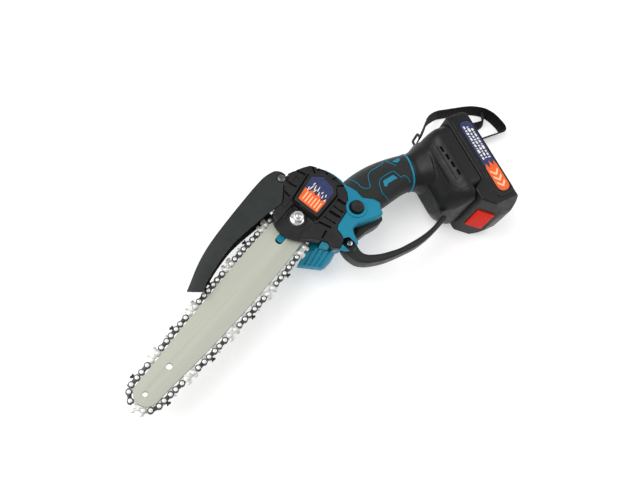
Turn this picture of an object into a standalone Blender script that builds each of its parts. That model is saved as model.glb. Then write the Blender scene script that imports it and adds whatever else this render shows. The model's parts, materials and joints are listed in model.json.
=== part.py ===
"""Cordless pruning chainsaw, lying on its left side.

The saw is laid out in millimetres in its own frame first: x runs from the bar
nose back towards the battery, y towards the top of the saw, and n is the
height above the middle plane of the guide bar.  W() turns those into world
metres: +Z up, the bar tip along -X, the saw's top side along +Y.
The battery and the foot are laid out along two more axes: t runs away from
the handle (battery thickness) and s runs along the battery.
"""
import bpy
import bmesh
from math import sin, cos, pi, radians, atan2, hypot
from mathutils import Vector, Matrix

for ob in list(bpy.data.objects):
    bpy.data.objects.remove(ob, do_unlink=True)

MM = 0.001
# world origin below the middle of the whole saw, on the rest surface
CX, CY, NZ = 230.45, -54.1, 45.5

# main sizes, mm
BAR_T = 4.0              # bar thickness
NOSE_R = 11.5
BAR_TAIL = 213.0
PITCH = 6.35             # chain pitch, 1/4 inch
SPROCKET = (234.0, 0.0)
SPROCKET_R = 14.6        # radius of the rivet line round the sprocket
NUT = (204.0, 0.0)
PIVOT = (225.0, 35.5)    # chain guard pivot
BUTTON = (249.0, -36.0)
TRIG_PIN = (234.0, -47.5)
SPLIT = -8.0             # middle plane of body, handle, foot and battery
BODY_TOP, BODY_BOT = 12.0, -28.0
GAP = 0.35
FOOT_ANGLE = radians(25.84)
BATT_HALF = 37.5

SAW = bpy.data.collections.new("chainsaw")
CUT = bpy.data.collections.new("cutters")
bpy.context.scene.collection.children.link(SAW)
bpy.context.scene.collection.children.link(CUT)


def W(x, y, n):
    return Vector(((x - CX) * MM, (y - CY) * MM, (n + NZ) * MM))


def TS(t, s):
    c, d = cos(FOOT_ANGLE), sin(FOOT_ANGLE)
    return (c * t - d * s, -d * t - c * s)


# ------------------------------------------------------------- materials
def material(name, rgb, rough, metal=0.0):
    m = bpy.data.materials.new(name)
    m.use_nodes = True
    b = m.node_tree.nodes["Principled BSDF"]
    b.inputs["Base Color"].default_value = (*rgb, 1.0)
    b.inputs["Roughness"].default_value = rough
    b.inputs["Metallic"].default_value = metal
    m.diffuse_color = (*rgb, 1.0)
    return m


TEAL = (0.035, 0.36, 0.55)
BLACK = (0.018, 0.019, 0.019)
STEEL = (0.56, 0.56, 0.54)
DARK = (0.05, 0.05, 0.052)


def finish(ob, rgb, rough=0.5, metal=0.0):
    ob.data.materials.clear()
    ob.data.materials.append(material(ob.name + "_mat", rgb, rough, metal))
    return ob


# ------------------------------------------------------------- builders
def link(ob, cutter=False):
    (CUT if cutter else SAW).objects.link(ob)
    if cutter:
        ob.hide_render = True
        ob.display_type = 'WIRE'
    return ob


def offset_poly(pts, d):
    """offset of a closed polygon, positive outwards, mitred"""
    n = len(pts)
    area = sum(pts[i][0] * pts[(i + 1) % n][1] - pts[(i + 1) % n][0] * pts[i][1] for i in range(n))
    sg = 1.0 if area > 0 else -1.0
    out = []
    for i in range(n):
        p0, p1, p2 = pts[i - 1], pts[i], pts[(i + 1) % n]
        a = Vector((p1[0] - p0[0], p1[1] - p0[1])).normalized()
        b = Vector((p2[0] - p1[0], p2[1] - p1[1])).normalized()
        na, nb = Vector((a.y, -a.x)) * sg, Vector((b.y, -b.x)) * sg
        m = (na + nb)
        k = m.length_squared / 2.0
        m = m / max(k, 0.35)
        out.append((p1[0] + m.x * d, p1[1] + m.y * d))
    return out


def fillet(pts, r, seg=3):
    """round every corner of a closed polygon with radius about r"""
    n = len(pts)
    rr = r if isinstance(r, (list, tuple)) else [r] * n
    out = []
    for i in range(n):
        p0, p1, p2 = (Vector(pts[i - 1]), Vector(pts[i]), Vector(pts[(i + 1) % n]))
        a, b = (p0 - p1), (p2 - p1)
        la, lb = a.length, b.length
        a.normalize(), b.normalize()
        ang = a.angle(b)
        if rr[i] <= 0 or ang > radians(172):
            out.append(tuple(p1))
            continue
        d = min(rr[i] / max(1e-6, (sin(ang / 2) / cos(ang / 2))), la * 0.45, lb * 0.45)
        q0, q2 = p1 + a * d, p1 + b * d
        for k in range(seg + 1):
            u = k / seg
            q = q0 * (1 - u) ** 2 + p1 * (2 * u * (1 - u)) + q2 * u ** 2
            out.append(tuple(q))
    return out


def circle(c, r, seg=24, a0=0.0):
    return [(c[0] + r * cos(a0 + 2 * pi * k / seg), c[1] + r * sin(a0 + 2 * pi * k / seg)) for k in range(seg)]


def slab(name, outline, n0, n1, holes=(), bevel=0.0, seg=2, cutter=False, angle=40):
    """a flat outline drawn in x, y and raised from n0 to n1"""
    cu = bpy.data.curves.new(name + "_outline", 'CURVE')
    cu.dimensions = '2D'
    cu.fill_mode = 'BOTH'
    cu.extrude = (n1 - n0) * 0.5 * MM
    for loop in [outline, *holes]:
        sp = cu.splines.new('POLY')
        sp.points.add(len(loop) - 1)
        for k, p in enumerate(loop):
            v = W(p[0], p[1], 0)
            sp.points[k].co = (v.x, v.y, 0.0, 1.0)
        sp.use_cyclic_u = True
    tmp = bpy.data.objects.new(name + "_tmp", cu)
    bpy.context.scene.collection.objects.link(tmp)
    dg = bpy.context.evaluated_depsgraph_get()
    me = bpy.data.meshes.new_from_object(tmp.evaluated_get(dg))
    bpy.data.objects.remove(tmp, do_unlink=True)
    bm = bmesh.new()
    bm.from_mesh(me)
    bmesh.ops.remove_doubles(bm, verts=bm.verts, dist=1e-6)
    bmesh.ops.translate(bm, verts=bm.verts, vec=(0, 0, ((n0 + n1) * 0.5 + NZ) * MM))
    bmesh.ops.recalc_face_normals(bm, faces=bm.faces)
    bm.to_mesh(me)
    bm.free()
    me.name = name
    ob = link(bpy.data.objects.new(name, me), cutter)
    if bevel > 0:
        md = ob.modifiers.new("edge", 'BEVEL')
        md.width = bevel * MM
        md.segments = seg
        md.limit_method = 'ANGLE'
        md.angle_limit = radians(angle)
        md.harden_normals = False
        # a flat outline bevels top and bottom rims only
    return ob


def block(name, size, centre, rot=0.0, bevel=0.0, cutter=False):
    """box of size (x, y, n) round a centre, turned about the n axis"""
    me = bpy.data.meshes.new(name)
    bm = bmesh.new()
    bmesh.ops.create_cube(bm, size=1.0)
    bmesh.ops.scale(bm, verts=bm.verts, vec=[v * MM for v in size])
    bm.to_mesh(me)
    bm.free()
    ob = link(bpy.data.objects.new(name, me), cutter)
    ob.location = W(*centre)
    ob.rotation_euler = (0, 0, rot)
    if bevel > 0:
        md = ob.modifiers.new("edge", 'BEVEL')
        md.width = bevel * MM
        md.segments = 2
    return ob


def rod(name, r, n0, n1, c, seg=24, cutter=False, bevel=0.0, r2=None):
    """cylinder along the n axis"""
    me = bpy.data.meshes.new(name)
    bm = bmesh.new()
    bmesh.ops.create_cone(bm, cap_ends=True, segments=seg, radius1=r * MM,
                          radius2=(r if r2 is None else r2) * MM, depth=(n1 - n0) * MM)
    bm.to_mesh(me)
    bm.free()
    ob = link(bpy.data.objects.new(name, me), cutter)
    ob.location = W(c[0], c[1], (n0 + n1) * 0.5)
    if bevel > 0:
        md = ob.modifiers.new("edge", 'BEVEL')
        md.width = bevel * MM
        md.segments = 1
        md.limit_method = 'ANGLE'
        md.angle_limit = radians(50)
    return ob


def turned(name, profile, c, seg=24, cutter=False):
    """a body of revolution about the n axis, profile = (radius, n) from top to bottom on its outer side"""
    me = bpy.data.meshes.new(name)
    pts = [(r * MM, 0.0, (n + NZ) * MM) for r, n in profile]
    closed = profile[0][0] > 0 or profile[-1][0] > 0
    edges = [(i, i + 1) for i in range(len(pts) - 1)]
    if closed:
        edges.append((len(pts) - 1, 0))
    me.from_pydata(pts, edges, [])
    ob = link(bpy.data.objects.new(name, me), cutter)
    v = W(c[0], c[1], -NZ)
    ob.location = (v.x, v.y, 0.0)
    md = ob.modifiers.new("turn", 'SCREW')
    md.steps = seg
    md.render_steps = seg
    md.use_merge_vertices = True
    md.merge_threshold = 1e-6
    return ob


def loft(name, rings, cutter=False):
    """skin closed rings of the same point count (world metres), capped at both ends"""
    n = len(rings[0])
    verts = [tuple(p) for ring in rings for p in ring]
    faces = []
    for k in range(len(rings) - 1):
        for i in range(n):
            j = (i + 1) % n
            faces.append((k * n + i, k * n + j, (k + 1) * n + j, (k + 1) * n + i))
    faces.append(tuple(reversed(range(n))))
    faces.append(tuple((len(rings) - 1) * n + i for i in range(n)))
    me = bpy.data.meshes.new(name)
    me.from_pydata(verts, [], faces)
    bm = bmesh.new()
    bm.from_mesh(me)
    bmesh.ops.recalc_face_normals(bm, faces=bm.faces)
    bm.to_mesh(me)
    bm.free()
    return link(bpy.data.objects.new(name, me), cutter)


def wire(name, pts, r, res=6, cyclic=False, cutter=False, smooth=False):
    """round wire through points (world metres)"""
    cu = bpy.data.curves.new(name, 'CURVE')
    cu.dimensions = '3D'
    cu.bevel_depth = r * MM
    cu.bevel_resolution = max(0, res // 2 - 1)
    cu.use_fill_caps = True
    sp = cu.splines.new('POLY')
    sp.points.add(len(pts) - 1)
    for k, p in enumerate(pts):
        sp.points[k].co = (*p, 1.0)
    sp.use_cyclic_u = cyclic
    tmp = bpy.data.objects.new(name + "_tmp", cu)
    bpy.context.scene.collection.objects.link(tmp)
    dg = bpy.context.evaluated_depsgraph_get()
    me = bpy.data.meshes.new_from_object(tmp.evaluated_get(dg))
    bpy.data.objects.remove(tmp, do_unlink=True)
    bm = bmesh.new()
    bm.from_mesh(me)
    bmesh.ops.remove_doubles(bm, verts=bm.verts, dist=1e-6)
    bmesh.ops.recalc_face_normals(bm, faces=bm.faces)
    bm.to_mesh(me)
    bm.free()
    me.name = name
    return link(bpy.data.objects.new(name, me), cutter)


def boolean(ob, other, op='DIFFERENCE'):
    md = ob.modifiers.new(op.lower(), 'BOOLEAN')
    md.operation = op
    md.solver = 'EXACT'
    md.object = other
    return ob


# ------------------------------------------------------------- guide bar
def nose_arc(r, a0, a1, k):
    return [(r * cos(radians(a0 + (a1 - a0) * i / k)), r * sin(radians(a0 + (a1 - a0) * i / k))) for i in range(k + 1)]


BAR_EDGE = [(14, 12.6), (45, 14.5), (90, 16.4), (140, 17.8), (190, 17.6)]


def bar_outline():
    top = list(reversed(BAR_EDGE))
    pts = [(BAR_TAIL, 8.0), (207, 15.0)] + top
    pts += nose_arc(NOSE_R, 92, 268, 12)
    pts += [(x, -y) for x, y in BAR_EDGE] + [(207, -15.0), (BAR_TAIL, -8.0)]
    return pts


outline = bar_outline()
slot = fillet([(175, 3.6), (175, -3.6), (210, -3.6), (210, 3.6)], 3.5, 3)
bar = slab("guide_bar", outline, -BAR_T / 2, BAR_T / 2,
           holes=[slot, circle((0, 0), 2.1, 12), circle((29, 0), 2.7, 14)])
groove_in = offset_poly(outline, -5.0)
groove = slab("groove_cut", offset_poly(outline, 4.0), -0.75, 0.75, holes=[groove_in], cutter=True)
boolean(bar, groove)
finish(bar, (0.56, 0.56, 0.49), 0.35, 0.9)


# ------------------------------------------------------------- saw chain
def chain_line():
    """rivet line: tight on the upper run, a little slack on the lower run"""
    pts = nose_arc(14.4, 262, 96, 10)
    pts = [(x, y) for x, y in pts]
    up = [(14, 15.4), (45, 17.4), (90, 19.3), (140, 20.6), (188, 20.2), (210, 18.2)]
    arc = [(SPROCKET[0] + SPROCKET_R * cos(radians(a)), SPROCKET[1] + SPROCKET_R * sin(radians(a)))
           for a in range(84, -91, -18)]
    low = [(210, -18.8), (188, -22.0), (140, -23.2), (90, -21.8), (45, -18.2), (14, -15.4)]
    return pts + up + arc + low


def resample(pts, step_count):
    seg = [hypot(pts[(i + 1) % len(pts)][0] - pts[i][0], pts[(i + 1) % len(pts)][1] - pts[i][1]) for i in range(len(pts))]
    total = sum(seg)
    out = []
    for k in range(step_count):
        d = total * k / step_count
        i = 0
        while d > seg[i]:
            d -= seg[i]
            i += 1
        a, b = pts[i], pts[(i + 1) % len(pts)]
        u = d / seg[i]
        tx, ty = (b[0] - a[0]) / seg[i], (b[1] - a[1]) / seg[i]
        out.append((a[0] + (b[0] - a[0]) * u, a[1] + (b[1] - a[1]) * u, tx, ty))
    return out, total


line, chain_len = resample(chain_line(), 88)
outer, inner = [], []
for k, (x, y, tx, ty) in enumerate(line):
    nx, ny = -ty, tx           # the line runs clockwise, so this points outwards
    tooth = 3.0 if k % 8 == 4 else (1.9 if k % 8 == 5 else 0.0)
    outer.append((x + nx * (3.0 + tooth), y + ny * (3.0 + tooth)))
    inner.append((x - nx * 2.3, y - ny * 2.3))
chain = slab("saw_chain", outer, -3.3, 3.3, holes=[inner])
finish(chain, (0.09, 0.09, 0.095), 0.35, 0.9)

# ------------------------------------------------------------- drive line
teeth = []
for k in range(7):
    for a, r in ((0.0, 11.4), (14.0, 11.4), (20.0, 8.6), (38.0, 8.6)):
        th = radians(k * 360 / 7 + a)
        teeth.append((SPROCKET[0] + r * cos(th), SPROCKET[1] + r * sin(th)))
sprocket = slab("drive_sprocket", teeth, -3.2, 3.2, holes=[circle(SPROCKET, 3.25, 16)])
finish(sprocket, (0.25, 0.25, 0.26), 0.35, 0.95)

sprocket_ring = turned("sprocket_retainer", [(5.4, 5.2), (5.4, 3.9), (3.3, 3.9), (3.3, 5.2)], SPROCKET, 16)
finish(sprocket_ring, (0.3, 0.3, 0.31), 0.3, 1.0)

shaft = turned("motor_shaft", [(0.0, 7.0), (2.6, 7.0), (2.9, 6.5), (2.9, -42.0), (0.0, -42.0)], SPROCKET, 16)
finish(shaft, (0.6, 0.6, 0.6), 0.2, 1.0)
rotor = turned("motor_rotor", [(11.2, -16.5), (11.2, -36.0), (3.2, -36.0), (3.2, -16.5)], SPROCKET, 24)
finish(rotor, (0.22, 0.2, 0.19), 0.45, 0.8)
stator = turned("motor_stator", [(17.7, -15.8), (17.7, -36.6), (12.2, -36.6), (12.2, -15.8)], SPROCKET, 24)
finish(stator, (0.55, 0.24, 0.09), 0.4, 0.7)
can = turned("motor_can", [(20.2, -13.6), (20.2, -38.0), (18.1, -38.0), (18.1, -15.4), (5.0, -15.4), (5.0, -13.6)], SPROCKET, 28)
finish(can, (0.42, 0.42, 0.43), 0.35, 1.0)
fan_pts = []
for k in range(9):
    for a, r in ((0.0, 17.5), (9.0, 17.2), (14.0, 7.0), (34.0, 7.0)):
        th = radians(k * 40 + a)
        fan_pts.append((SPROCKET[0] + r * cos(th), SPROCKET[1] + r * sin(th)))
fan = slab("cooling_fan", fan_pts, -12.8, -9.6, holes=[circle(SPROCKET, 3.25, 16)])
finish(fan, (0.03, 0.03, 0.032), 0.5)
brg_top = turned("front_bearing", [(8.0, -4.9), (8.0, -8.6), (3.25, -8.6), (3.25, -4.9)], SPROCKET, 20)
finish(brg_top, (0.5, 0.5, 0.5), 0.25, 1.0)
brg_low = turned("rear_bearing", [(6.5, -38.4), (6.5, -41.2), (3.25, -41.2), (3.25, -38.4)], SPROCKET, 20)
finish(brg_low, (0.5, 0.5, 0.5), 0.25, 1.0)

# ------------------------------------------------------------- sprocket cover
COVER = [(256, 24), (246, 28.6), (236, 27.4), (218, 26.6), (209, 20.6), (195, 19.8), (187, 14), (182.5, 2),
         (183.5, -6), (189, -16), (196, -23.5), (203, -33), (200.5, -40), (203, -46.5), (216, -45.5), (220, -35.5),
         (236, -34), (246, -28.5), (257, -19), (263.5, -9), (265, 4), (262.5, 15)]
cover_out = fillet(COVER, 3.0, 1)
BLOCK = [(214.5, 13.5), (213.5, -13.5), (216, -17.5), (244, -17), (251, -11.5), (256, 6.5), (247, 14.5)]
cover = slab("sprocket_cover", cover_out, -4.2, 13.2, bevel=1.4, seg=1)
raised = slab("cover_block", fillet(BLOCK, 2.5, 2), 8.0, 17.0, bevel=1.0, seg=1, cutter=True)
boolean(cover, raised, 'UNION')
low_front = slab("cover_low_front", [(170, 11.5), (213.0, 11.5), (212.0, -14.5), (170, -14.5)], 7.6, 30, cutter=True)
boolean(cover, low_front)
COVER_IN = [(189, 14), (196, 17.2), (210, 18), (219, 24), (236, 24.8), (245, 26), (254, 22), (260, 14), (262.3, 4), (261, -8),
            (255, -17.5), (245, -26), (236, -31), (222, -32), (206, -30), (198, -22), (190, -14)]
inside = slab("cover_inside", COVER_IN, -9.0, 5.4, cutter=True)
boolean(cover, inside)
inside2 = slab("cover_inside_top", circle((234, 0), 18.5, 20), 5.0, 10.6, cutter=True)
boolean(cover, inside2)
mouth = slab("cover_mouth", [(160, 34), (214, 34), (218, 26.9), (214, 20), (214, -26), (204, -29), (196, -31), (160, -31)], -9.0, 5.4, cutter=True)
boolean(cover, mouth)
stud_hole = rod("cover_stud_hole", 3.6, -10, 20, NUT, 16, cutter=True)
boolean(cover, stud_hole)
rib_cuts = []
for i, (x, y, a, ln) in enumerate([(222, 21.6, 0, 8.5), (232.8, 22, 0, 8.5), (244, 21.5, -12, 8.5), (255.5, 15.2, -62, 7.5),
                                   (260.2, 3, -84, 8.5), (258.5, -8.6, -118, 8.0), (250.5, -19, -140, 8.0),
                                   (239.6, -25.6, -165, 8.5), (228.6, -27, 180, 8.5), (217.6, -27, 180, 8.5)]):
    cut = block("cover_pocket_%d" % i, (ln, 6.4, 12.0), (x, y, 16.6), radians(a), cutter=True)
    boolean(cover, cut)
finish(cover, BLACK, 0.42)

badge = slab("cover_badge", fillet(offset_poly(BLOCK, -4.2), 1.5, 2), 17.35, 17.95)
finish(badge, (0.05, 0.07, 0.25), 0.4)

stud = rod("bar_stud", 2.9, -12.5, 15.6, NUT, 16)
finish(stud, (0.55, 0.55, 0.56), 0.3, 1.0)
nut = slab("bar_nut", [(NUT[0] + 5.8 * cos(radians(a)), 5.8 * sin(radians(a))) for a in range(0, 360, 60)],
           9.0, 14.0, holes=[circle(NUT, 3.2, 12)], bevel=0.5, seg=1)
flange = slab("nut_flange", circle(NUT, 7.4, 24), 7.95, 9.4, holes=[circle(NUT, 3.2, 12)], cutter=True)
boolean(nut, flange, 'UNION')
finish(nut, (0.7, 0.7, 0.7), 0.22, 1.0)

# ------------------------------------------------------------- body shells
BODY = [(191, 16.5), (207, 18.5), (217, 25), (236, 26), (247, 27), (256, 21), (262, 10), (264, 1), (264, -8),
        (262.5, -14), (265, -26), (263, -34), (269.5, -44), (270.5, -51), (266, -54), (262.5, -60), (256, -57), (238, -47), (231, -45.5), (227, -50),
        (222.5, -58), (214, -60), (207, -53), (199, -36), (193, -24)]
body_out = fillet(BODY, 3.0, 1)

# handle: centre line, in-plane half width, half thickness and heading at stations along the grip
HANDLE = [(268.0, -30.5, 22.0, 18.6, -6.0), (279.0, -32.3, 22.0, 18.4, -12.0), (291.0, -35.5, 21.8, 18.0, -18.0),
          (303.0, -39.6, 20.9, 17.6, -24.0), (315.0, -44.6, 19.6, 17.3, -31.0), (325.5, -50.0, 18.7, 17.2, -36.0)]


def handle_ring(st, d, seg=20):
    x, y, a, b, h = st
    h = radians(h)
    px, py = -sin(h), cos(h)
    out = []
    for k in range(seg):
        th = 2 * pi * k / seg
        e = 0.86
        ca, sa = cos(th), sin(th)
        u = (abs(ca) ** e) * (1 if ca >= 0 else -1) * (a + d)
        v = (abs(sa) ** e) * (1 if sa >= 0 else -1) * (b + d)
        out.append(W(x + px * u, y + py * u, SPLIT + v))
    return out


def along(st, dist):
    x, y, a, b, h = st
    return (x + cos(radians(h)) * dist, y + sin(radians(h)) * dist, a, b, h)


SKIN = 3.4
tongue_st = [along(HANDLE[0], -9)] + HANDLE + [along(HANDLE[-1], 14)]


def body_half(name, upper):
    ob = slab(name, body_out, BODY_BOT, BODY_TOP, bevel=3.6, seg=2)
    tongue = loft(name + "_tongue", [handle_ring(s, -SKIN) for s in tongue_st], cutter=True)
    boolean(ob, tongue, 'UNION')
    if upper:
        ring = turned(name + "_ring", [(10.2, 13.4), (10.2, 9.0), (7.3, 9.0), (7.3, 13.4)], BUTTON, 28, cutter=True)
        boolean(ob, ring, 'UNION')
        boss = rod(name + "_pivot_boss", 6.0, -20, -12.6, PIVOT, 16, cutter=True)
    else:
        bulge = turned(name + "_bulge", [(0.0, -20.0), (29.0, -20.0), (29.0, -42.0), (26.5, -45.5), (0.0, -45.5)], SPROCKET, 30, cutter=True)
        boolean(ob, bulge, 'UNION')
        boss = slab(name + "_pivot_boss", fillet([(214, 20), (236, 20), (230.5, 38), (226, 41.2), (221, 39.5)], 3, 2), -24, -12.6, cutter=True)
        boolean(ob, boss, 'UNION')
    half = block(name + "_half", (420, 260, 80), (240, 0, SPLIT + (40 + 0.15 if upper else -40 - 0.15)), cutter=True)
    boolean(ob, half, 'INTERSECT')
    return ob


right = body_half("housing_right", True)
left = body_half("housing_left", False)

room = slab("cover_room", offset_poly(cover_out, GAP + 0.2), -4.6, 30, cutter=True)
boolean(right, room)
front_room = slab("bar_room", [(150, 40), (200, 40), (220, 30), (220, -30), (193, -32), (150, -30)], -4.6, 30, cutter=True)
boolean(right, front_room)
btn_hole = rod("button_hole", 6.7, -2, 30, BUTTON, 24, cutter=True)
boolean(right, btn_hole)
btn_room = turned("button_room", [(0.0, 9.4), (8.6, 9.4), (8.6, 0.4), (0.0, 0.4)], BUTTON, 20, cutter=True)
boolean(right, btn_room)
motor_room = turned("motor_room", [(0.0, -6.0), (22.5, -6.0), (22.5, -38.2), (24.6, -38.2), (24.6, -60.0), (0.0, -60.0)], SPROCKET, 28, cutter=True)
boolean(left, motor_room)
brg_room = rod("bearing_room", 8.4, -60, 30, SPROCKET, 20, cutter=True)
boolean(right, brg_room)
motor_room_top = rod("motor_room_top", 18.6, -30, -8.9 + 0.6, SPROCKET, 24, cutter=True)
stud_room = rod("stud_room", 3.3, -13.2, 30, NUT, 14, cutter=True)
boolean(right, stud_room)
boolean(left, stud_room)
SLOT = [(224, -38.5), (241, -36), (266, -37.5), (272.5, -45), (274, -75), (218, -75), (224, -52)]
trig_room = slab("trigger_room", SLOT, -16.2, 0.2, cutter=True)
for ob in (right, left):
    boolean(ob, trig_room)
switch_room = block("switch_room", (20, 19, 17), (287, -33.5, -8), radians(-14), cutter=True)
for ob in (right, left):
    boolean(ob, switch_room)
spring_room = rod("trigger_spring_room", 4.6, -1, 4.6, TRIG_PIN, 16, cutter=True)
boolean(right, spring_room)
pin_room = rod("trigger_pin_room", 1.9, -22, 3, TRIG_PIN, 12, cutter=True)
for ob in (right, left):
    boolean(ob, pin_room)
lead_path = [W(252, -14, -13.0), W(266, -24, -8), W(279, -31.2, -8), W(291, -35.5, -8), W(303, -39.6, -8),
             W(315, -44.6, -8), W(326, -50.5, -8), W(352, -68, -8)]
lead_room = wire("lead_room", lead_path, 4.0, 8, cutter=True)
for ob in (right, left):
    boolean(ob, lead_room)

# knuckle guard: a strap from under the trigger to the foot
GUARD = [(209.5, -50.5), (217.5, -46.5), (224, -49), (226.5, -56), (226, -66), (231, -75), (248, -88.5), (276, -99.5),
         (297, -104), (310.5, -106.2), (308, -113.4), (292, -111), (266, -104.6), (243, -95), (224, -84), (211.5, -72), (206, -60)]
guard_out = fillet(GUARD, 4.0, 2)
guard_room = slab("guard_room", offset_poly(guard_out, 0.6), -16.6, 14, cutter=True)
for ob in (right, left):
    boolean(ob, guard_room)
finish(right, TEAL, 0.38)
finish(left, TEAL, 0.38)

SCREWS = [("housing_screw_front", (200, -29)), ("housing_screw_top", (214, 20)), ("housing_screw_rear", (262, 8)),
          ("housing_screw_grip", (256.5, -31.5))]
for nm, (sx, sy) in SCREWS:
    hole = turned(nm + "_hole", [(0.0, -5.5), (1.75, -5.5), (1.75, -24.4), (3.5, -24.4), (3.5, -40.0), (0.0, -40.0)], (sx, sy), 14, cutter=True)
    boolean(left, hole)
    boolean(right, hole)
    sc = turned(nm, [(0.0, -6.0), (1.35, -6.0), (1.35, -24.8), (3.0, -24.8), (3.0, -27.0), (0.0, -27.0)], (sx, sy), 12)
    finish(sc, (0.12, 0.12, 0.13), 0.35, 0.9)

cap_holes = [fillet([(234 + 15.5 * cos(radians(a - 10)), 15.5 * sin(radians(a - 10))),
                     (234 + 15.5 * cos(radians(a + 10)), 15.5 * sin(radians(a + 10))),
                     (234 + 20.5 * cos(radians(a + 10)), 20.5 * sin(radians(a + 10))),
                     (234 + 20.5 * cos(radians(a - 10)), 20.5 * sin(radians(a - 10)))], 0.8, 1) for a in range(0, 360, 45)]
cap = slab("motor_cap", circle(SPROCKET, 24.1, 28), -45.1, -42.6, holes=cap_holes)
finish(cap, BLACK, 0.5)

knuckle = slab("knuckle_guard", guard_out, -15.5, -0.5, bevel=2.0, seg=1)
kn_hole = turned("guard_screw_hole", [(0.0, 5.0), (3.4, 5.0), (3.4, -2.8), (1.9, -2.8), (1.9, -20.0), (0.0, -20.0)], (217.5, -54.5), 14, cutter=True)
boolean(knuckle, kn_hole)
finish(knuckle, BLACK, 0.45)
kn_screw = turned("guard_screw", [(0.0, -0.9), (3.0, -0.9), (3.0, -2.5), (1.5, -2.5), (1.5, -16.2), (0.0, -16.2)], (217.5, -54.5), 14)
finish(kn_screw, (0.6, 0.6, 0.6), 0.25, 1.0)

# ribbed chip deflector in front of the body, below the chain
fin_top = [(199.0, -24.2), (206.0, -36), (209.0, -47.4), (202.5, -47.4), (192.6, -24.6)]
fin_low = [(199.0, -24.2), (206.0, -36), (209.0, -49.6), (196.0, -49.6), (174.0, -26.0)]


def at(p, q, u):
    return (p[0] + (q[0] - p[0]) * u, p[1] + (q[1] - p[1]) * u)


fin_rings = [[W(*at(a, b, u), n) for a, b in zip(fin_top, fin_low)] for u, n in ((0.0, 3.0), (0.5, -8.5), (1.0, -20.0), (1.0, -25.5))]
deflector = loft("chip_deflector", fin_rings)
body_room = slab("body_room", offset_poly(BODY, 0.4), -40, 20, cutter=True)
boolean(deflector, body_room)
boolean(deflector, room)
boolean(deflector, front_room)
boolean(deflector, guard_room)
finish(deflector, TEAL, 0.42)

# ------------------------------------------------------------- trigger and lock-off
TRIG = [(229.5, -44.4), (240, -42.5), (262, -45.5), (268.5, -51), (268, -59), (262, -65), (246, -61.5), (230, -57),
        (228.6, -52)]
trigger = slab("trigger", fillet(TRIG, 2.5, 2), -15.2, -0.8, holes=[circle(TRIG_PIN, 1.95, 12)], bevel=1.6, seg=2)
finish(trigger, BLACK, 0.45)
pin = rod("trigger_pin", 1.5, -21, 2.6, TRIG_PIN, 12)
finish(pin, (0.6, 0.6, 0.6), 0.25, 1.0)


def coil(name, c, r, wire_r, n0, n1, turns, seg=10, rgb=(0.5, 0.5, 0.5)):
    pts = []
    total = int(turns * seg)
    for k in range(total + 1):
        a = 2 * pi * k / seg
        pts.append(W(c[0] + r * cos(a), c[1] + r * sin(a), n0 + (n1 - n0) * k / total))
    return finish(wire(name, pts, wire_r, 4), rgb, 0.3, 1.0)


coil("trigger_spring", TRIG_PIN, 3.2, 0.45, 0.8, 3.6, 2.5)
coil("guard_spring", PIVOT, 4.2, 0.5, -8.6, -4.6, 3.0)
coil("button_spring", BUTTON, 5.0, 0.45, 1.4, 3.2, 2.0)
button = turned("lock_off_button", [(0.0, 17.2), (5.2, 17.2), (6.2, 16.4), (6.2, 9.2), (7.9, 9.0), (7.9, 7.2), (0.0, 7.2)], BUTTON, 20)
finish(button, BLACK, 0.45)
switch = block("switch_module", (17.5, 16.5, 14.5), (287, -33.5, -8), radians(-14), bevel=0.6)
lead_slot = wire("switch_lead_slot", lead_path, 3.4, 8, cutter=True)
boolean(switch, lead_slot)
finish(switch, (0.03, 0.03, 0.03), 0.4)
for sgn, nm, rgb in ((1, "lead_red", (0.6, 0.02, 0.02)), (-1, "lead_black", (0.02, 0.02, 0.02))):
    pts = []
    for k, p in enumerate(lead_path[1:-1]):
        pts.append(p + Vector((0, 0, sgn * 1.7 * MM)))
    pts.append(W(338, -58.5, -8 + sgn * 1.7))
    finish(wire(nm, pts, 1.1, 6), rgb, 0.5)

# ------------------------------------------------------------- chain guard over the upper run
CG = [(231, 36), (229.5, 41.2), (224.5, 42.6), (200, 43.8), (173, 45), (148, 44.6), (125, 41), (103, 35.4), (83, 29),
      (92, 18.4), (99, 21.2), (110, 23.6), (126, 26), (146, 27.2), (170, 25), (190, 21.4), (206, 20.8), (213, 26.2), (221, 30.5), (228, 31.2)]
cguard = slab("chain_guard", CG, 8.9, 12.0)
CG_FRONT = [(204, 43.5), (173, 44.9), (148, 44.5), (125, 40.9), (103, 35.3), (83.2, 28.9),
            (92, 18.6), (99, 21.4), (110, 23.8), (126, 26.2), (146, 27.4), (170, 25.2), (190, 21.6), (203, 21.2)]
cg_wall = slab("chain_guard_wall", CG_FRONT, -12.0, 10.5, cutter=True)
boolean(cguard, cg_wall, 'UNION')
hollow = [(212, 33), (200, 41), (173, 42.3), (148, 41.9), (125, 38.3), (104, 32.8), (80, 25.4), (70, 5), (212, 5)]
cg_room = slab("chain_guard_room", hollow, -9.8, 9.7, cutter=True)
boolean(cguard, cg_room)
cg_hole = rod("chain_guard_hole", 3.3, -30, 30, PIVOT, 16, cutter=True)
boolean(cguard, cg_hole)
finish(cguard, BLACK, 0.4)
pivot_screw = turned("guard_pivot_screw", [(0.0, 14.2), (3.6, 14.2), (4.6, 13.2), (4.6, 12.35), (2.9, 12.35), (2.9, -11.8),
                                           (1.7, -11.8), (1.7, -21.0), (0.0, -21.0)], PIVOT, 16)
finish(pivot_screw, (0.08, 0.08, 0.085), 0.35, 0.9)
piv_room = rod("pivot_room", 2.1, -22, 30, PIVOT, 12, cutter=True)
boolean(left, piv_room)

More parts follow.
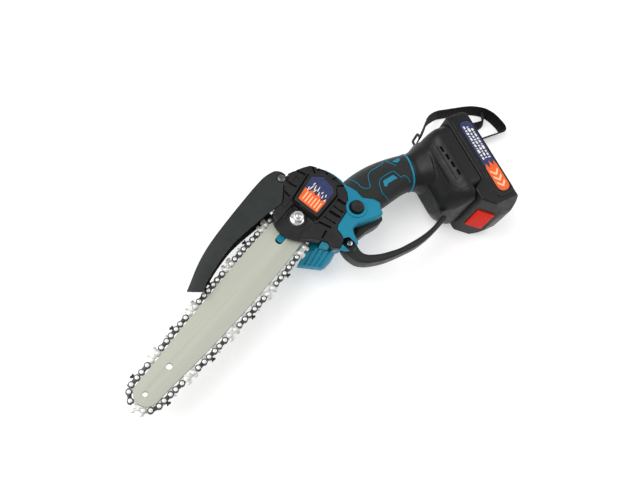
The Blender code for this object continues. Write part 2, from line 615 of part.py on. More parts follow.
# ------------------------------------------------------------- grip
def grip_half(name, upper):
    ob = loft(name, [handle_ring(s, 0.0, 28) for s in [along(HANDLE[0], -9)] + HANDLE])
    core = loft(name + "_core", [handle_ring(s, -SKIN + 0.3) for s in [along(HANDLE[0], -13)] + HANDLE + [along(HANDLE[-1], 9)]], cutter=True)
    boolean(ob, core)
    bod = slab(name + "_body", offset_poly(body_out, GAP), BODY_BOT - GAP, BODY_TOP + GAP, cutter=True)
    boolean(ob, bod)
    half = block(name + "_half", (420, 260, 80), (240, 0, SPLIT + (40 + 0.15 if upper else -40 - 0.15)), cutter=True)
    boolean(ob, half, 'INTERSECT')
    boolean(ob, trig_room)
    return finish(ob, BLACK, 0.75)


grip_half("grip_right", True)
grip_half("grip_left", False)
end_rings = [along(HANDLE[-1], 0.5), along(HANDLE[-1], 2.6)]
ring = loft("grip_end_ring", [handle_ring(s, 0.4, 28) for s in end_rings])
ring_core = loft("grip_end_ring_core", [handle_ring(s, -SKIN + 0.3) for s in (along(HANDLE[-1], -6), along(HANDLE[-1], 9))], cutter=True)
boolean(ring, ring_core)
finish(ring, TEAL, 0.4)

# ------------------------------------------------------------- foot
def round_rect(t, s0, s1, half, r, k=4):
    pts = []
    r = min(r, half * 0.95)
    for cs, cn, a0 in ((s1 - r, half - r, 0), (s0 + r, half - r, 90), (s0 + r, -half + r, 180), (s1 - r, -half + r, 270)):
        for i in range(k + 1):
            a = radians(a0 + 90 * i / k)
            x, y = TS(t, cs + r * cos(a))
            pts.append(W(x, y, SPLIT + cn + r * sin(a)))
    return pts


FOOT = [(329.0, -116, -41, 15.0, 11), (333.0, -118.5, -39, 21.0, 14), (338.5, -121, -37.5, 29.0, 15),
        (345.0, -123, -36.5, 35.0, 13), (350.5, -124, -36, 37.5, 11), (353.2, -124, -36, 37.5, 11)]
WIN = [along(HANDLE[-1], 2.9), along(HANDLE[-1], 12), along(HANDLE[-1], 20)]


def foot_half(name, upper):
    ob = loft(name, [round_rect(*f) for f in FOOT])
    back = loft(name + "_back", [round_rect(352.0, -124, -53.2, 37.5, 9), round_rect(365.6, -124, -53.2, 37.5, 9)], cutter=True)
    boolean(ob, back, 'UNION')
    neck = loft(name + "_neck", [handle_ring(along(HANDLE[-1], 3.0), 0.2), handle_ring(along(HANDLE[-1], 7.0), 0.8),
                                 handle_ring(along(HANDLE[-1], 12.0), 3.0), handle_ring(along(HANDLE[-1], 18.0), 6.0)], cutter=True)
    boolean(ob, neck, 'UNION')
    half = block(name + "_half", (300, 300, 80), (*TS(345, -80), SPLIT + (40 + 0.15 if upper else -40 - 0.15)), cutter=True)
    boolean(ob, half, 'INTERSECT')
    socket = loft(name + "_socket", [handle_ring(along(HANDLE[-1], -8), -SKIN + 0.35), handle_ring(along(HANDLE[-1], 14.5), -SKIN + 0.35)], cutter=True)
    boolean(ob, socket)
    cav = loft(name + "_cavity", [round_rect(336.0, -113, -45, 18.0, 8), round_rect(343, -119, -40.5, 30.0, 9), round_rect(350.0, -120.5, -39.5, 34.5, 9)], cutter=True)
    boolean(ob, cav)
    cav2 = block(name + "_cavity_back", (13.4, 60, 66), (*TS(355.5, -88.5), SPLIT), -FOOT_ANGLE, cutter=True)
    boolean(ob, cav2)
    boolean(ob, lead_room)
    for k in range(4):
        s = -95.0 + k * 9.6
        v = block(name + "_vent_%d" % k, (2.2, 7.6, 16), (*TS(346.5, s), SPLIT + (34 if upper else -34)), -FOOT_ANGLE, cutter=True)
        boolean(ob, v)
    chan = block(name + "_channel", (6.0, 90, 7.0), (*TS(364.6, -90), SPLIT + (26 if upper else -26)), -FOOT_ANGLE, cutter=True)
    boolean(ob, chan)
    return finish(ob, BLACK, 0.5)


foot_r = foot_half("foot_right", True)
foot_l = foot_half("foot_left", False)
for ob in (foot_r, foot_l):
    boolean(ob, guard_room)
term_win = block("terminal_window", (12, 40, 30), (*TS(366, -96), SPLIT), -FOOT_ANGLE, cutter=True)
for ob in (foot_r, foot_l):
    boolean(ob, term_win)
terminal = block("terminal_block", (9.0, 34, 24), (*TS(360.2, -96), SPLIT), -FOOT_ANGLE, bevel=0.8)
finish(terminal, (0.04, 0.04, 0.04), 0.4)
board = block("control_board", (1.6, 52, 44), (*TS(351.6, -86), SPLIT), -FOOT_ANGLE)
finish(board, (0.02, 0.22, 0.08), 0.4)
for nm, (t, s) in (("foot_screw_upper", (357.0, -119.6)), ("foot_screw_lower", (347.0, -56.0))):
    x, y = TS(t, s)
    if nm == "foot_screw_lower":
        t2, s2 = 357.0, -56.0
        x, y = TS(t2, s2)
    hole = turned(nm + "_hole", [(0.0, 6.0), (1.75, 6.0), (1.75, -40.4), (3.4, -40.4), (3.4, -60.0), (0.0, -60.0)], (x, y), 14, cutter=True)
    for ob in (foot_l, foot_r):
        boolean(ob, hole)
    sc = turned(nm, [(0.0, 5.4), (1.35, 5.4), (1.35, -40.8), (2.9, -40.8), (2.9, -43.6), (0.0, -43.6)], (x, y), 12)
    finish(sc, (0.12, 0.12, 0.13), 0.35, 0.9)

# ------------------------------------------------------------- battery
def ts_slab(name, pts, n0, n1, **kw):
    return slab(name, [TS(*p) for p in pts], n0, n1, **kw)


PACK = [(366.2, -124), (392, -124), (392, -18), (381, -18), (353.8, -36.5), (353.8, -50.5), (366.2, -51.5)]
pack_out = fillet(PACK, [3, 6, 6, 5, 6, 2, 1], 3)
N0, N1 = SPLIT - BATT_HALF, SPLIT + BATT_HALF
lid = ts_slab("battery_lid", pack_out, N0, N1, bevel=4.0, seg=2)
lid_keep = ts_slab("lid_keep", [(340, -140), (371.4, -140), (371.4, 0), (340, 0)], -80, 80, cutter=True)
boolean(lid, lid_keep, 'INTERSECT')
tub = ts_slab("battery_tub", pack_out, N0, N1, bevel=4.0, seg=2)
tub_keep = ts_slab("tub_keep", [(371.8, -140), (400, -140), (400, 0), (371.8, 0)], -80, 80, cutter=True)
boolean(tub, tub_keep, 'INTERSECT')
tub_room = ts_slab("tub_room", fillet([(360, -121.8), (389.6, -121.8), (389.6, -20.6), (382, -20.6), (376.4, -27.5), (360, -27.5)], 2.0, 1), N0 + 2.4, N1 - 2.4, cutter=True)
boolean(tub, tub_room)
lid_room = ts_slab("lid_room", [(368.8, -121.8), (380, -121.8), (380, -40.5), (368.8, -40.5)], N0 + 2.4, N1 - 2.4, cutter=True)
boolean(lid, lid_room)
for k, sg in enumerate((1, -1)):
    rail = block("battery_rail_%d" % k, (5.4, 66, 5.6), (*TS(364.4, -87), SPLIT + sg * 26), -FOOT_ANGLE, cutter=True)
    boolean(lid, rail, 'UNION')
lid_slot = block("battery_contact_slot", (12, 30, 20), (*TS(366, -98), SPLIT), -FOOT_ANGLE, cutter=True)
boolean(lid, lid_slot)
# release button on the slanted front corner
CH_A, CH_B = (353.8, -36.5), (381.0, -18.0)
chl = hypot(CH_B[0] - CH_A[0], CH_B[1] - CH_A[1])
cd = ((CH_B[0] - CH_A[0]) / chl, (CH_B[1] - CH_A[1]) / chl)
cn = (-cd[1], cd[0])
BC = (CH_A[0] + cd[0] * 12.5, CH_A[1] + cd[1] * 12.5)


def on_slant(u, v):
    return TS(BC[0] + cd[0] * u + cn[0] * v, BC[1] + cd[1] * u + cn[1] * v)


slant = [(-8.6, -5.0), (8.6, -5.0), (8.6, 3.0), (-8.6, 3.0)]
btn_pocket = slab("release_pocket", [on_slant(*p) for p in slant], SPLIT - 15.4, SPLIT + 15.4, cutter=True)
boolean(lid, btn_pocket)
release = slab("release_button", fillet([on_slant(*p) for p in [(-8.2, -1.0), (8.2, -1.0), (8.2, 0.7), (6.0, 1.5), (-6.0, 1.5), (-8.2, 0.7)]], 0.6, 2),
               SPLIT - 15.0, SPLIT + 15.0, bevel=0.5, seg=1)
finish(release, (0.85, 0.02, 0.012), 0.35)
rs = [W(*on_slant(-4.0 + 0.0 * k, -4.4 + 0.1 * k), 0) for k in range(2)]
spring_pts = []
for k in range(21):
    a = 2 * pi * k / 8
    q = on_slant(2.6 * cos(a), -4.5 + 0.25 * 0 + k * 0.012)
    spring_pts.append(W(q[0], q[1], SPLIT + 2.6 * sin(a)))
# a flat leaf spring holds the release button out
leaf = slab("release_spring", [on_slant(*p) for p in [(-6.5, -4.7), (6.5, -4.7), (6.5, -4.2), (-6.5, -4.2)]], SPLIT - 5, SPLIT + 5)
finish(leaf, (0.55, 0.55, 0.5), 0.3, 1.0)
finish(lid, BLACK, 0.5)
label_room = ts_slab("battery_label_room", fillet([(374.6, -113.5), (389.4, -113.5), (389.4, -30.6), (374.6, -30.6)], 6.4, 4), N1 - 0.9, N1 + 5, cutter=True)
boolean(tub, label_room)
boolean(tub, btn_pocket)
finish(tub, BLACK, 0.5)
label = ts_slab("battery_badge", fillet([(375.0, -113.1), (389.0, -113.1), (389.0, -31.0), (375.0, -31.0)], 6.2, 4), N1 - 0.55, N1 - 0.05)
finish(label, (0.05, 0.07, 0.25), 0.4)
for k in range(5):
    t, s = 380.6, -112.4 + 18.4 * k
    cell = rod("battery_cell_%d" % (k + 1), 8.8, SPLIT - 32.5, SPLIT + 32.5, TS(t, s), 16, bevel=0.8)
    finish(cell, (0.05, 0.25, 0.18), 0.4)
pack_board = block("battery_board", (0.001 + 1.0, 62, 40), (*TS(369.9, -84), SPLIT), -FOOT_ANGLE)
finish(pack_board, (0.02, 0.2, 0.06), 0.4)

# ------------------------------------------------------------- wrist strap and its lug
lug_in, lug_out = TS(347.5, -123.8), TS(347.5, -129.2)
lp = [W(lug_in[0], lug_in[1] - 0.0, SPLIT - 8), W(*TS(347.5, -127.6), SPLIT - 8), W(*lug_out, SPLIT - 6.6), W(*lug_out, SPLIT + 6.6),
      W(*TS(347.5, -127.6), SPLIT + 8), W(*TS(347.5, -123.8), SPLIT + 8)]
lug = wire("strap_lug", [W(*TS(347.5, -124.5), SPLIT - 8)] + lp[1:5] + [W(*TS(347.5, -124.5), SPLIT + 8)], 1.3, 8)
finish(lug, (0.03, 0.03, 0.03), 0.4)

STRAP_T, STRAP_W = 1.6, 12.5
STRAP = [(371.5, -34.2, -9.0), (377.0, -33.6, -10.5), (386.0, -33.2, -15.0), (400.0, -32.0, -22.0), (416.0, -31.8, -30.0),
         (432.0, -35.5, -37.0), (444.0, -42.5, -39.0), (454.0, -50.0, -39.0), (463.0, -57.0, -39.0), (470.0, -63.5, -39.0),
         (477.0, -74.0, -39.0), (479.0, -84.0, -39.0), (478.0, -93.0, -39.0), (475.5, -101.5, -39.0), (471.5, -104.5, -39.0),
         (464.0, -101.0, -39.0), (449.0, -93.0, -39.0), (436.0, -86.0, -39.0), (425.5, -78.0, -39.0), (424.0, -70.5, -39.0),
         (431.0, -66.5, -39.0), (443.0, -70.0, -39.0), (453.0, -76.5, -39.0), (461.5, -81.0, -39.0), (468.5, -80.0, -39.0),
         (474.0, -75.0, -39.0)]


def ribbon(name, path, width, thick):
    rings = []
    for k, p in enumerate(path):
        a = path[max(0, k - 1)]
        b = path[min(len(path) - 1, k + 1)]
        d = Vector((b[0] - a[0], b[1] - a[1])).normalized()
        q = Vector((-d.y, d.x)) * thick * 0.5
        h = width * 0.5
        rings.append([W(p[0] - q.x, p[1] - q.y, p[2] - h), W(p[0] + q.x, p[1] + q.y, p[2] - h),
                      W(p[0] + q.x, p[1] + q.y, p[2] + h), W(p[0] - q.x, p[1] - q.y, p[2] + h)])
    return loft(name, rings)


strap = ribbon("wrist_strap", STRAP, STRAP_W, STRAP_T)
finish(strap, (0.015, 0.015, 0.016), 0.85)
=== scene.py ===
"""Looks of the cordless pruning chainsaw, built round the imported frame.

Everything is laid out in the saw's own millimetres, as in the part's source:
x from the bar nose to the battery, y towards the top of the saw, n the height
above the middle plane of the bar.  W() turns those into the row frame.
"""
import bpy
import bmesh
import json
from math import sin, cos, pi, radians, degrees, hypot, atan2
from mathutils import Vector, Matrix
from mathutils.bvhtree import BVHTree

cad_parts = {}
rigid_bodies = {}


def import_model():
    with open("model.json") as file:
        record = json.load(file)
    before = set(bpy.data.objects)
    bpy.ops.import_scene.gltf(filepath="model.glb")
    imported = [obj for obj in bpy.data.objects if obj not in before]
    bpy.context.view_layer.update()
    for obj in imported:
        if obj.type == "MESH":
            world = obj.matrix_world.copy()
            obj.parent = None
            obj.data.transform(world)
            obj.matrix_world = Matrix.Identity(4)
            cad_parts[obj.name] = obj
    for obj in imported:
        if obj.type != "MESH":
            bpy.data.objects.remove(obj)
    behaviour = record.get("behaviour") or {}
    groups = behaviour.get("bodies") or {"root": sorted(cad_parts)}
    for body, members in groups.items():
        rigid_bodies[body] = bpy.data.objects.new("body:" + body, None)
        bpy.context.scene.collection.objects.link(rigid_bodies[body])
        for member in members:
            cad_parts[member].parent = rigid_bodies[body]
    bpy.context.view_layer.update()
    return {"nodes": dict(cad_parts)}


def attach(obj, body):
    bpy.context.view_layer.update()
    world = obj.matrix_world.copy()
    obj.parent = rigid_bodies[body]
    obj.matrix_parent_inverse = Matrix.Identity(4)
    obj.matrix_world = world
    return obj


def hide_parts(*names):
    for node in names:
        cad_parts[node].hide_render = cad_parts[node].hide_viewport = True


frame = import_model()

MM = 0.001
CX, CY, NZ = 230.45, -54.1, 45.5
FOOT_ANGLE = radians(25.84)
KNUCKLE = (222.3, -51.4)
SPROCKET, NUT, PIVOT, BUTTON, TRIG_PIN = (234.0, 0.0), (204.0, 0.0), (225.0, 35.5), (249.0, -36.0), (234.0, -47.5)
SPLIT, BODY_TOP, BODY_BOT = -8.0, 12.0, -28.0


def W(x, y, n):
    return Vector(((x - CX) * MM, (y - CY) * MM, (n + NZ) * MM))


def TS(t, s):
    c, d = cos(FOOT_ANGLE), sin(FOOT_ANGLE)
    return (c * t - d * s, -d * t - c * s)


# ------------------------------------------------------------------ camera
scene = bpy.context.scene
cam_data = bpy.data.cameras.new("view_camera")
cam_data.lens = 39.375
cam_data.sensor_width = 36.0
cam_data.clip_end = 20.0
camera = bpy.data.objects.new("view_camera", cam_data)
scene.collection.objects.link(camera)
right = Vector((0.57966, -0.78635, 0.21366)).normalized()
fwd = Vector((0.42927, 0.07181, -0.90032)).normalized()
upv = right.cross(fwd).normalized()
rot = Matrix((right, upv, -fwd)).transposed()
camera.matrix_world = Matrix.Translation(W(-74.17, -74.97, 585.7)) @ rot.to_4x4()
scene.camera = camera
scene.view_settings.view_transform = 'Standard'
scene.view_settings.look = 'None'

# ------------------------------------------------------------------ materials


def surface(name, rgb, rough=0.45, metal=0.0, spec=0.5, vary=0.12, vary_scale=45.0, grain=0.0, grain_scale=1400.0,
            rough_vary=0.08, edge=0.0, painted_edge_rgb=None, soft=0.35, stretch=None, coat=0.0, sheen=0.0, detail=4.0):
    """plastic, rubber or metal: mottled colour and gloss, fine grain, rounded edges with a band of painted highlight
    along them; an edge colour darker than the base paints shade there instead
    """
    m = bpy.data.materials.new(name)
    m.use_nodes = True
    nt = m.node_tree
    b = nt.nodes["Principled BSDF"]
    b.inputs["Metallic"].default_value = metal
    b.inputs["Specular IOR Level"].default_value = spec
    if coat:
        b.inputs["Coat Weight"].default_value = coat
        b.inputs["Coat Roughness"].default_value = 0.2
    if sheen:
        b.inputs["Sheen Weight"].default_value = sheen
        b.inputs["Sheen Roughness"].default_value = 0.5
    tc = nt.nodes.new("ShaderNodeTexCoord")
    src = tc.outputs["Object"]
    if stretch:
        mp = nt.nodes.new("ShaderNodeMapping")
        mp.inputs["Scale"].default_value = stretch
        nt.links.new(src, mp.inputs["Vector"])
        src2 = mp.outputs["Vector"]
    else:
        src2 = src
    big = nt.nodes.new("ShaderNodeTexNoise")
    big.inputs["Scale"].default_value = vary_scale
    big.inputs["Detail"].default_value = detail
    big.inputs["Roughness"].default_value = 0.6
    nt.links.new(src2, big.inputs["Vector"])
    ramp = nt.nodes.new("ShaderNodeValToRGB")
    lo = [max(0.0, c * (1.0 - vary)) for c in rgb]
    hi = [min(1.0, c * (1.0 + vary)) for c in rgb]
    ramp.color_ramp.elements[0].position = 0.3
    ramp.color_ramp.elements[1].position = 0.7
    ramp.color_ramp.elements[0].color = (*lo, 1.0)
    ramp.color_ramp.elements[1].color = (*hi, 1.0)
    nt.links.new(big.outputs["Fac"], ramp.inputs["Fac"])
    colour = ramp.outputs["Color"]
    rr = nt.nodes.new("ShaderNodeMapRange")
    rr.inputs["From Min"].default_value = 0.3
    rr.inputs["From Max"].default_value = 0.7
    rr.inputs["To Min"].default_value = max(0.03, rough - rough_vary)
    rr.inputs["To Max"].default_value = min(1.0, rough + rough_vary)
    mid = nt.nodes.new("ShaderNodeTexNoise")
    mid.inputs["Scale"].default_value = vary_scale * 4.0
    mid.inputs["Detail"].default_value = 3.0
    nt.links.new(src2, mid.inputs["Vector"])
    nt.links.new(mid.outputs["Fac"], rr.inputs["Value"])
    nt.links.new(rr.outputs["Result"], b.inputs["Roughness"])
    normal = None
    if soft > 0:
        bev = nt.nodes.new("ShaderNodeBevel")
        bev.samples = 4
        bev.inputs["Radius"].default_value = soft * MM
        normal = bev.outputs["Normal"]
        # paints the edge colour into a band along rounded edges: a painted highlight where that colour is lighter than
        # the base, painted shade where it is darker
        if edge > 0:
            geo = nt.nodes.new("ShaderNodeNewGeometry")
            dot = nt.nodes.new("ShaderNodeVectorMath")
            dot.operation = 'DOT_PRODUCT'
            nt.links.new(normal, dot.inputs[0])
            nt.links.new(geo.outputs["Normal"], dot.inputs[1])
            er = nt.nodes.new("ShaderNodeMapRange")
            er.inputs["From Min"].default_value = 0.995
            er.inputs["From Max"].default_value = 0.80
            er.inputs["To Min"].default_value = 0.0
            er.inputs["To Max"].default_value = edge
            nt.links.new(dot.outputs["Value"], er.inputs["Value"])
            mix = nt.nodes.new("ShaderNodeMix")
            mix.data_type = 'RGBA'
            nt.links.new(er.outputs["Result"], mix.inputs["Factor"])
            nt.links.new(colour, mix.inputs["A"])
            mix.inputs["B"].default_value = (*(painted_edge_rgb or [min(1.0, c * 2.5 + 0.02) for c in rgb]), 1.0)
            colour = mix.outputs["Result"]
    nt.links.new(colour, b.inputs["Base Color"])
    if grain > 0:
        g = nt.nodes.new("ShaderNodeTexNoise")
        g.inputs["Scale"].default_value = grain_scale
        g.inputs["Detail"].default_value = 3.0
        nt.links.new(src2 if stretch else src, g.inputs["Vector"])
        bump = nt.nodes.new("ShaderNodeBump")
        bump.inputs["Strength"].default_value = grain
        bump.inputs["Distance"].default_value = 0.0002
        nt.links.new(g.outputs["Fac"], bump.inputs["Height"])
        if normal is not None:
            nt.links.new(normal, bump.inputs["Normal"])
        normal = bump.outputs["Normal"]
    if normal is not None:
        nt.links.new(normal, b.inputs["Normal"])
    return m


TEAL_RGB = (0.005, 0.222, 0.345)
# the edge settings below paint a lighter band along rounded edges as a painted highlight
M = {
    "teal": surface("teal_plastic", TEAL_RGB, 0.40, spec=0.30, vary=0.06, grain=0.10, grain_scale=1800, edge=0.35, painted_edge_rgb=(0.07, 0.44, 0.62), soft=0.5),
    "cover": surface("cover_plastic", (0.0100, 0.0112, 0.0100), 0.42, spec=0.34, vary=0.22, grain=0.22, grain_scale=1500, edge=0.55, painted_edge_rgb=(0.060, 0.066, 0.060), soft=0.5),
    "black": surface("black_plastic", (0.0120, 0.0135, 0.0122), 0.44, spec=0.34, vary=0.2, grain=0.20, grain_scale=1500, edge=0.5, painted_edge_rgb=(0.06, 0.066, 0.06), soft=0.5),
    "guard": surface("guard_plastic", (0.0185, 0.0235, 0.0205), 0.42, spec=0.38, vary=0.10, grain=0.12, grain_scale=1700, edge=0.4, painted_edge_rgb=(0.07, 0.077, 0.07), soft=0.5),
    "foot": surface("foot_plastic", (0.0070, 0.0082, 0.0073), 0.40, spec=0.28, vary=0.14, grain=0.16, grain_scale=1600, edge=0.45, painted_edge_rgb=(0.060, 0.066, 0.060), soft=0.5),
    "rubber": surface("grip_rubber", (0.0130, 0.0165, 0.0145), 0.60, spec=0.30, vary=0.5, vary_scale=900, grain=0.6, grain_scale=2300, soft=0.4, edge=0.2, sheen=0.12),
    # near-black plastic of the inner pieces; on the sheets in the cover's slits and moat the same material is painted
    # shade
    "dark": surface("dark_plastic_and_shade_sheet", (0.003, 0.003, 0.003), 0.7, spec=0.12, vary=0.2, grain=0.1, soft=0.0),
    "red": surface("red_plastic", (0.68, 0.016, 0.002), 0.50, spec=0.12, vary=0.06, grain=0.06, edge=0.3, painted_edge_rgb=(0.90, 0.06, 0.03), soft=0.5),
    "bar": surface("bar_steel", (0.500, 0.510, 0.435), 0.66, metal=0.08, spec=0.22, vary=0.022, vary_scale=1.0, grain=0.03, grain_scale=1.0,
                   stretch=(28.0, 900.0, 900.0), rough_vary=0.05, edge=0.5, painted_edge_rgb=(0.70, 0.71, 0.66), soft=0.2),
    "strap_steel": surface("tie_steel", (0.052, 0.054, 0.052), 0.38, metal=0.6, vary=0.5, vary_scale=260, grain=0.12, grain_scale=2500, edge=0.8, painted_edge_rgb=(0.22, 0.22, 0.22), soft=0.15),
    "drive_steel": surface("drive_steel", (0.62, 0.62, 0.60), 0.42, metal=0.5, vary=0.2, vary_scale=260, grain=0.1, grain_scale=2500, edge=0.5, painted_edge_rgb=(0.8, 0.8, 0.8), soft=0.15),
    # the cutter's edge colour is darker than its base: painted shade, a dark outline round the plates
    "cutter_steel": surface("cutter_steel", (0.60, 0.59, 0.55), 0.36, metal=0.6, vary=0.25, vary_scale=300, grain=0.08, grain_scale=2500, edge=0.9, painted_edge_rgb=(0.22, 0.22, 0.21), soft=0.22),
    "rivet_steel": surface("rivet_steel", (0.88, 0.88, 0.87), 0.34, metal=0.6, vary=0.06, vary_scale=400, grain=0.05, grain_scale=2500, soft=0.0),
    "bump_steel": surface("bump_steel", (0.010, 0.010, 0.011), 0.45, metal=0.3, vary=0.3, vary_scale=300, grain=0.1, grain_scale=2500, edge=0.4, painted_edge_rgb=(0.2, 0.2, 0.2), soft=0.15),
    "chrome": surface("nut_steel", (0.86, 0.86, 0.86), 0.22, metal=0.95, vary=0.05, vary_scale=200, grain=0.04, grain_scale=2500, edge=0.6, painted_edge_rgb=(0.95, 0.95, 0.95), soft=0.25),
    "steel": surface("plain_steel", (0.62, 0.62, 0.62), 0.30, metal=1.0, vary=0.12, vary_scale=300, grain=0.08, grain_scale=2500, edge=0.5, painted_edge_rgb=(0.8, 0.8, 0.8), soft=0.2),
    "dark_steel": surface("black_screw", (0.030, 0.030, 0.032), 0.34, metal=0.7, vary=0.2, vary_scale=300, grain=0.1, grain_scale=2500, edge=0.8, painted_edge_rgb=(0.35, 0.35, 0.36), soft=0.2),
    # dark screw steel with a bright edge colour: painted highlight along the head's rim and cross
    "screw_painted_highlight": surface("screw_painted_highlight", (0.16, 0.16, 0.16), 0.30, metal=0.85, vary=0.3, vary_scale=300, grain=0.1, grain_scale=2500, edge=0.9, painted_edge_rgb=(0.75, 0.75, 0.75), soft=0.3),
    "copper": surface("winding_copper", (0.50, 0.20, 0.07), 0.38, metal=0.9, vary=0.3, vary_scale=700, grain=0.4, grain_scale=1500, soft=0.2),
    "circuit": surface("circuit_green", (0.02, 0.17, 0.06), 0.35, vary=0.3, vary_scale=500, grain=0.2, soft=0.1),
    "cell": surface("cell_wrap", (0.03, 0.22, 0.15), 0.35, vary=0.08, grain=0.05, soft=0.2),
    "wire_red": surface("wire_red", (0.55, 0.02, 0.015), 0.42, vary=0.1, grain=0.05, soft=0.0),
    "wire_black": surface("wire_black", (0.02, 0.02, 0.02), 0.42, vary=0.1, grain=0.05, soft=0.0),
    "navy": surface("film_navy", (0.030, 0.040, 0.115), 0.40, spec=0.30, vary=0.28, vary_scale=350, grain=0.05, soft=0.0),
    "orange": surface("film_orange", (0.88, 0.135, 0.022), 0.40, spec=0.25, vary=0.10, vary_scale=350, grain=0.05, soft=0.0),
    "white": surface("film_white", (0.84, 0.82, 0.80), 0.42, spec=0.25, vary=0.06, vary_scale=400, grain=0.05, soft=0.0),
    "pale": surface("film_pale", (0.95, 0.60, 0.38), 0.42, spec=0.25, vary=0.10, vary_scale=400, grain=0.05, soft=0.0),
    "line": surface("teal_inlay", (0.010, 0.22, 0.34), 0.42, spec=0.3, vary=0.15, vary_scale=300, grain=0.1, soft=0.0),
}


def webbing_material():
    """woven nylon tape: ribs across the tape, fine warp along it"""
    m = bpy.data.materials.new("woven_tape")
    m.use_nodes = True
    nt = m.node_tree
    b = nt.nodes["Principled BSDF"]
    b.inputs["Specular IOR Level"].default_value = 0.12
    b.inputs["Sheen Weight"].default_value = 0.10
    b.inputs["Sheen Roughness"].default_value = 0.45
    uv = nt.nodes.new("ShaderNodeUVMap")
    uv.uv_map = "tape"
    outs = []
    for sx, sy, ax in ((1.0, 0.0, 'X'), (0.0, 1.0, 'Y')):
        wv = nt.nodes.new("ShaderNodeTexWave")
        wv.bands_direction = ax
        wv.inputs["Scale"].default_value = 0.31 * (1.0 if ax == 'X' else 1.35)
        wv.inputs["Distortion"].default_value = 0.6
        wv.inputs["Detail"].default_value = 1.0
        wv.inputs["Detail Scale"].default_value = 2.0
        nt.links.new(uv.outputs["UV"], wv.inputs["Vector"])
        outs.append(wv.outputs["Fac"])
    mul = nt.nodes.new("ShaderNodeMath")
    mul.operation = 'MULTIPLY'
    nt.links.new(outs[0], mul.inputs[0])
    nt.links.new(outs[1], mul.inputs[1])
    fz = nt.nodes.new("ShaderNodeTexNoise")
    fz.inputs["Scale"].default_value = 1.6
    fz.inputs["Detail"].default_value = 5.0
    nt.links.new(uv.outputs["UV"], fz.inputs["Vector"])
    add = nt.nodes.new("ShaderNodeMath")
    add.operation = 'ADD'
    nt.links.new(mul.outputs[0], add.inputs[0])
    half = nt.nodes.new("ShaderNodeMath")
    half.operation = 'MULTIPLY'
    half.inputs[1].default_value = 0.5
    nt.links.new(fz.outputs["Fac"], half.inputs[0])
    nt.links.new(half.outputs[0], add.inputs[1])
    ramp = nt.nodes.new("ShaderNodeValToRGB")
    ramp.color_ramp.elements[0].position = 0.15
    ramp.color_ramp.elements[1].position = 0.95
    ramp.color_ramp.elements[0].color = (0.0015, 0.0015, 0.0015, 1)
    ramp.color_ramp.elements[1].color = (0.0075, 0.0075, 0.0078, 1)
    nt.links.new(add.outputs[0], ramp.inputs["Fac"])
    nt.links.new(ramp.outputs["Color"], b.inputs["Base Color"])
    rr = nt.nodes.new("ShaderNodeMapRange")
    rr.inputs["To Min"].default_value = 0.62
    rr.inputs["To Max"].default_value = 0.88
    nt.links.new(fz.outputs["Fac"], rr.inputs["Value"])
    nt.links.new(rr.outputs["Result"], b.inputs["Roughness"])
    bump = nt.nodes.new("ShaderNodeBump")
    bump.inputs["Strength"].default_value = 0.8
    bump.inputs["Distance"].default_value = 0.0004
    nt.links.new(add.outputs[0], bump.inputs["Height"])
    nt.links.new(bump.outputs["Normal"], b.inputs["Normal"])
    return m


M["webbing"] = webbing_material()

# ------------------------------------------------------------------ mesh helpers
TEMP = bpy.data.collections.new("workbench")
scene.collection.children.link(TEMP)


def link_temp(ob):
    TEMP.objects.link(ob)
    ob.hide_render = True
    return ob


def spline(pts, per=6, closed=False):
    """Catmull-Rom curve through points of any dimension"""
    n = len(pts)
    dim = len(pts[0])
    out = []
    last = n if closed else n - 1
    for i in range(last):
        p1, p2 = pts[i], pts[(i + 1) % n]
        p0 = pts[i - 1] if (closed or i > 0) else [2 * p1[k] - p2[k] for k in range(dim)]
        p3 = pts[(i + 2) % n] if (closed or i + 2 < n) else [2 * p2[k] - p1[k] for k in range(dim)]
        for j in range(per):
            u = j / per
            out.append(tuple(0.5 * ((2 * p1[k]) + (-p0[k] + p2[k]) * u + (2 * p0[k] - 5 * p1[k] + 4 * p2[k] - p3[k]) * u * u
                                    + (-p0[k] + 3 * p1[k] - 3 * p2[k] + p3[k]) * u ** 3) for k in range(dim)))
    if not closed:
        out.append(tuple(pts[-1]))
    return out


def runs(*parts, per=6):
    """closed outline out of smooth runs that meet in corners"""
    out = []
    for p in parts:
        q = spline(p, per) if len(p) > 2 else list(p)
        out += q[:-1] if (out and False) else q
    clean = []
    for p in out:
        if not clean or hypot(p[0] - clean[-1][0], p[1] - clean[-1][1]) > 1e-4:
            clean.append(tuple(p[:2]))
    if hypot(clean[0][0] - clean[-1][0], clean[0][1] - clean[-1][1]) < 1e-4:
        clean.pop()
    return clean


def fillet(pts, r, seg=5):
    n = len(pts)
    rr = r if isinstance(r, (list, tuple)) else [r] * n
    out = []
    for i in range(n):
        p0, p1, p2 = (Vector(pts[i - 1]), Vector(pts[i]), Vector(pts[(i + 1) % n]))
        a, b = (p0 - p1), (p2 - p1)
        la, lb = a.length, b.length
        a.normalize(), b.normalize()
        ang = a.angle(b)
        if rr[i] <= 0 or ang > radians(176):
            out.append(tuple(p1))
            continue
        d = min(rr[i] / max(1e-6, (sin(ang / 2) / cos(ang / 2))), la * 0.48, lb * 0.48)
        q0, q2 = p1 + a * d, p1 + b * d
        for k in range(seg + 1):
            u = k / seg
            out.append(tuple(q0 * (1 - u) ** 2 + p1 * (2 * u * (1 - u)) + q2 * u ** 2))
    return out


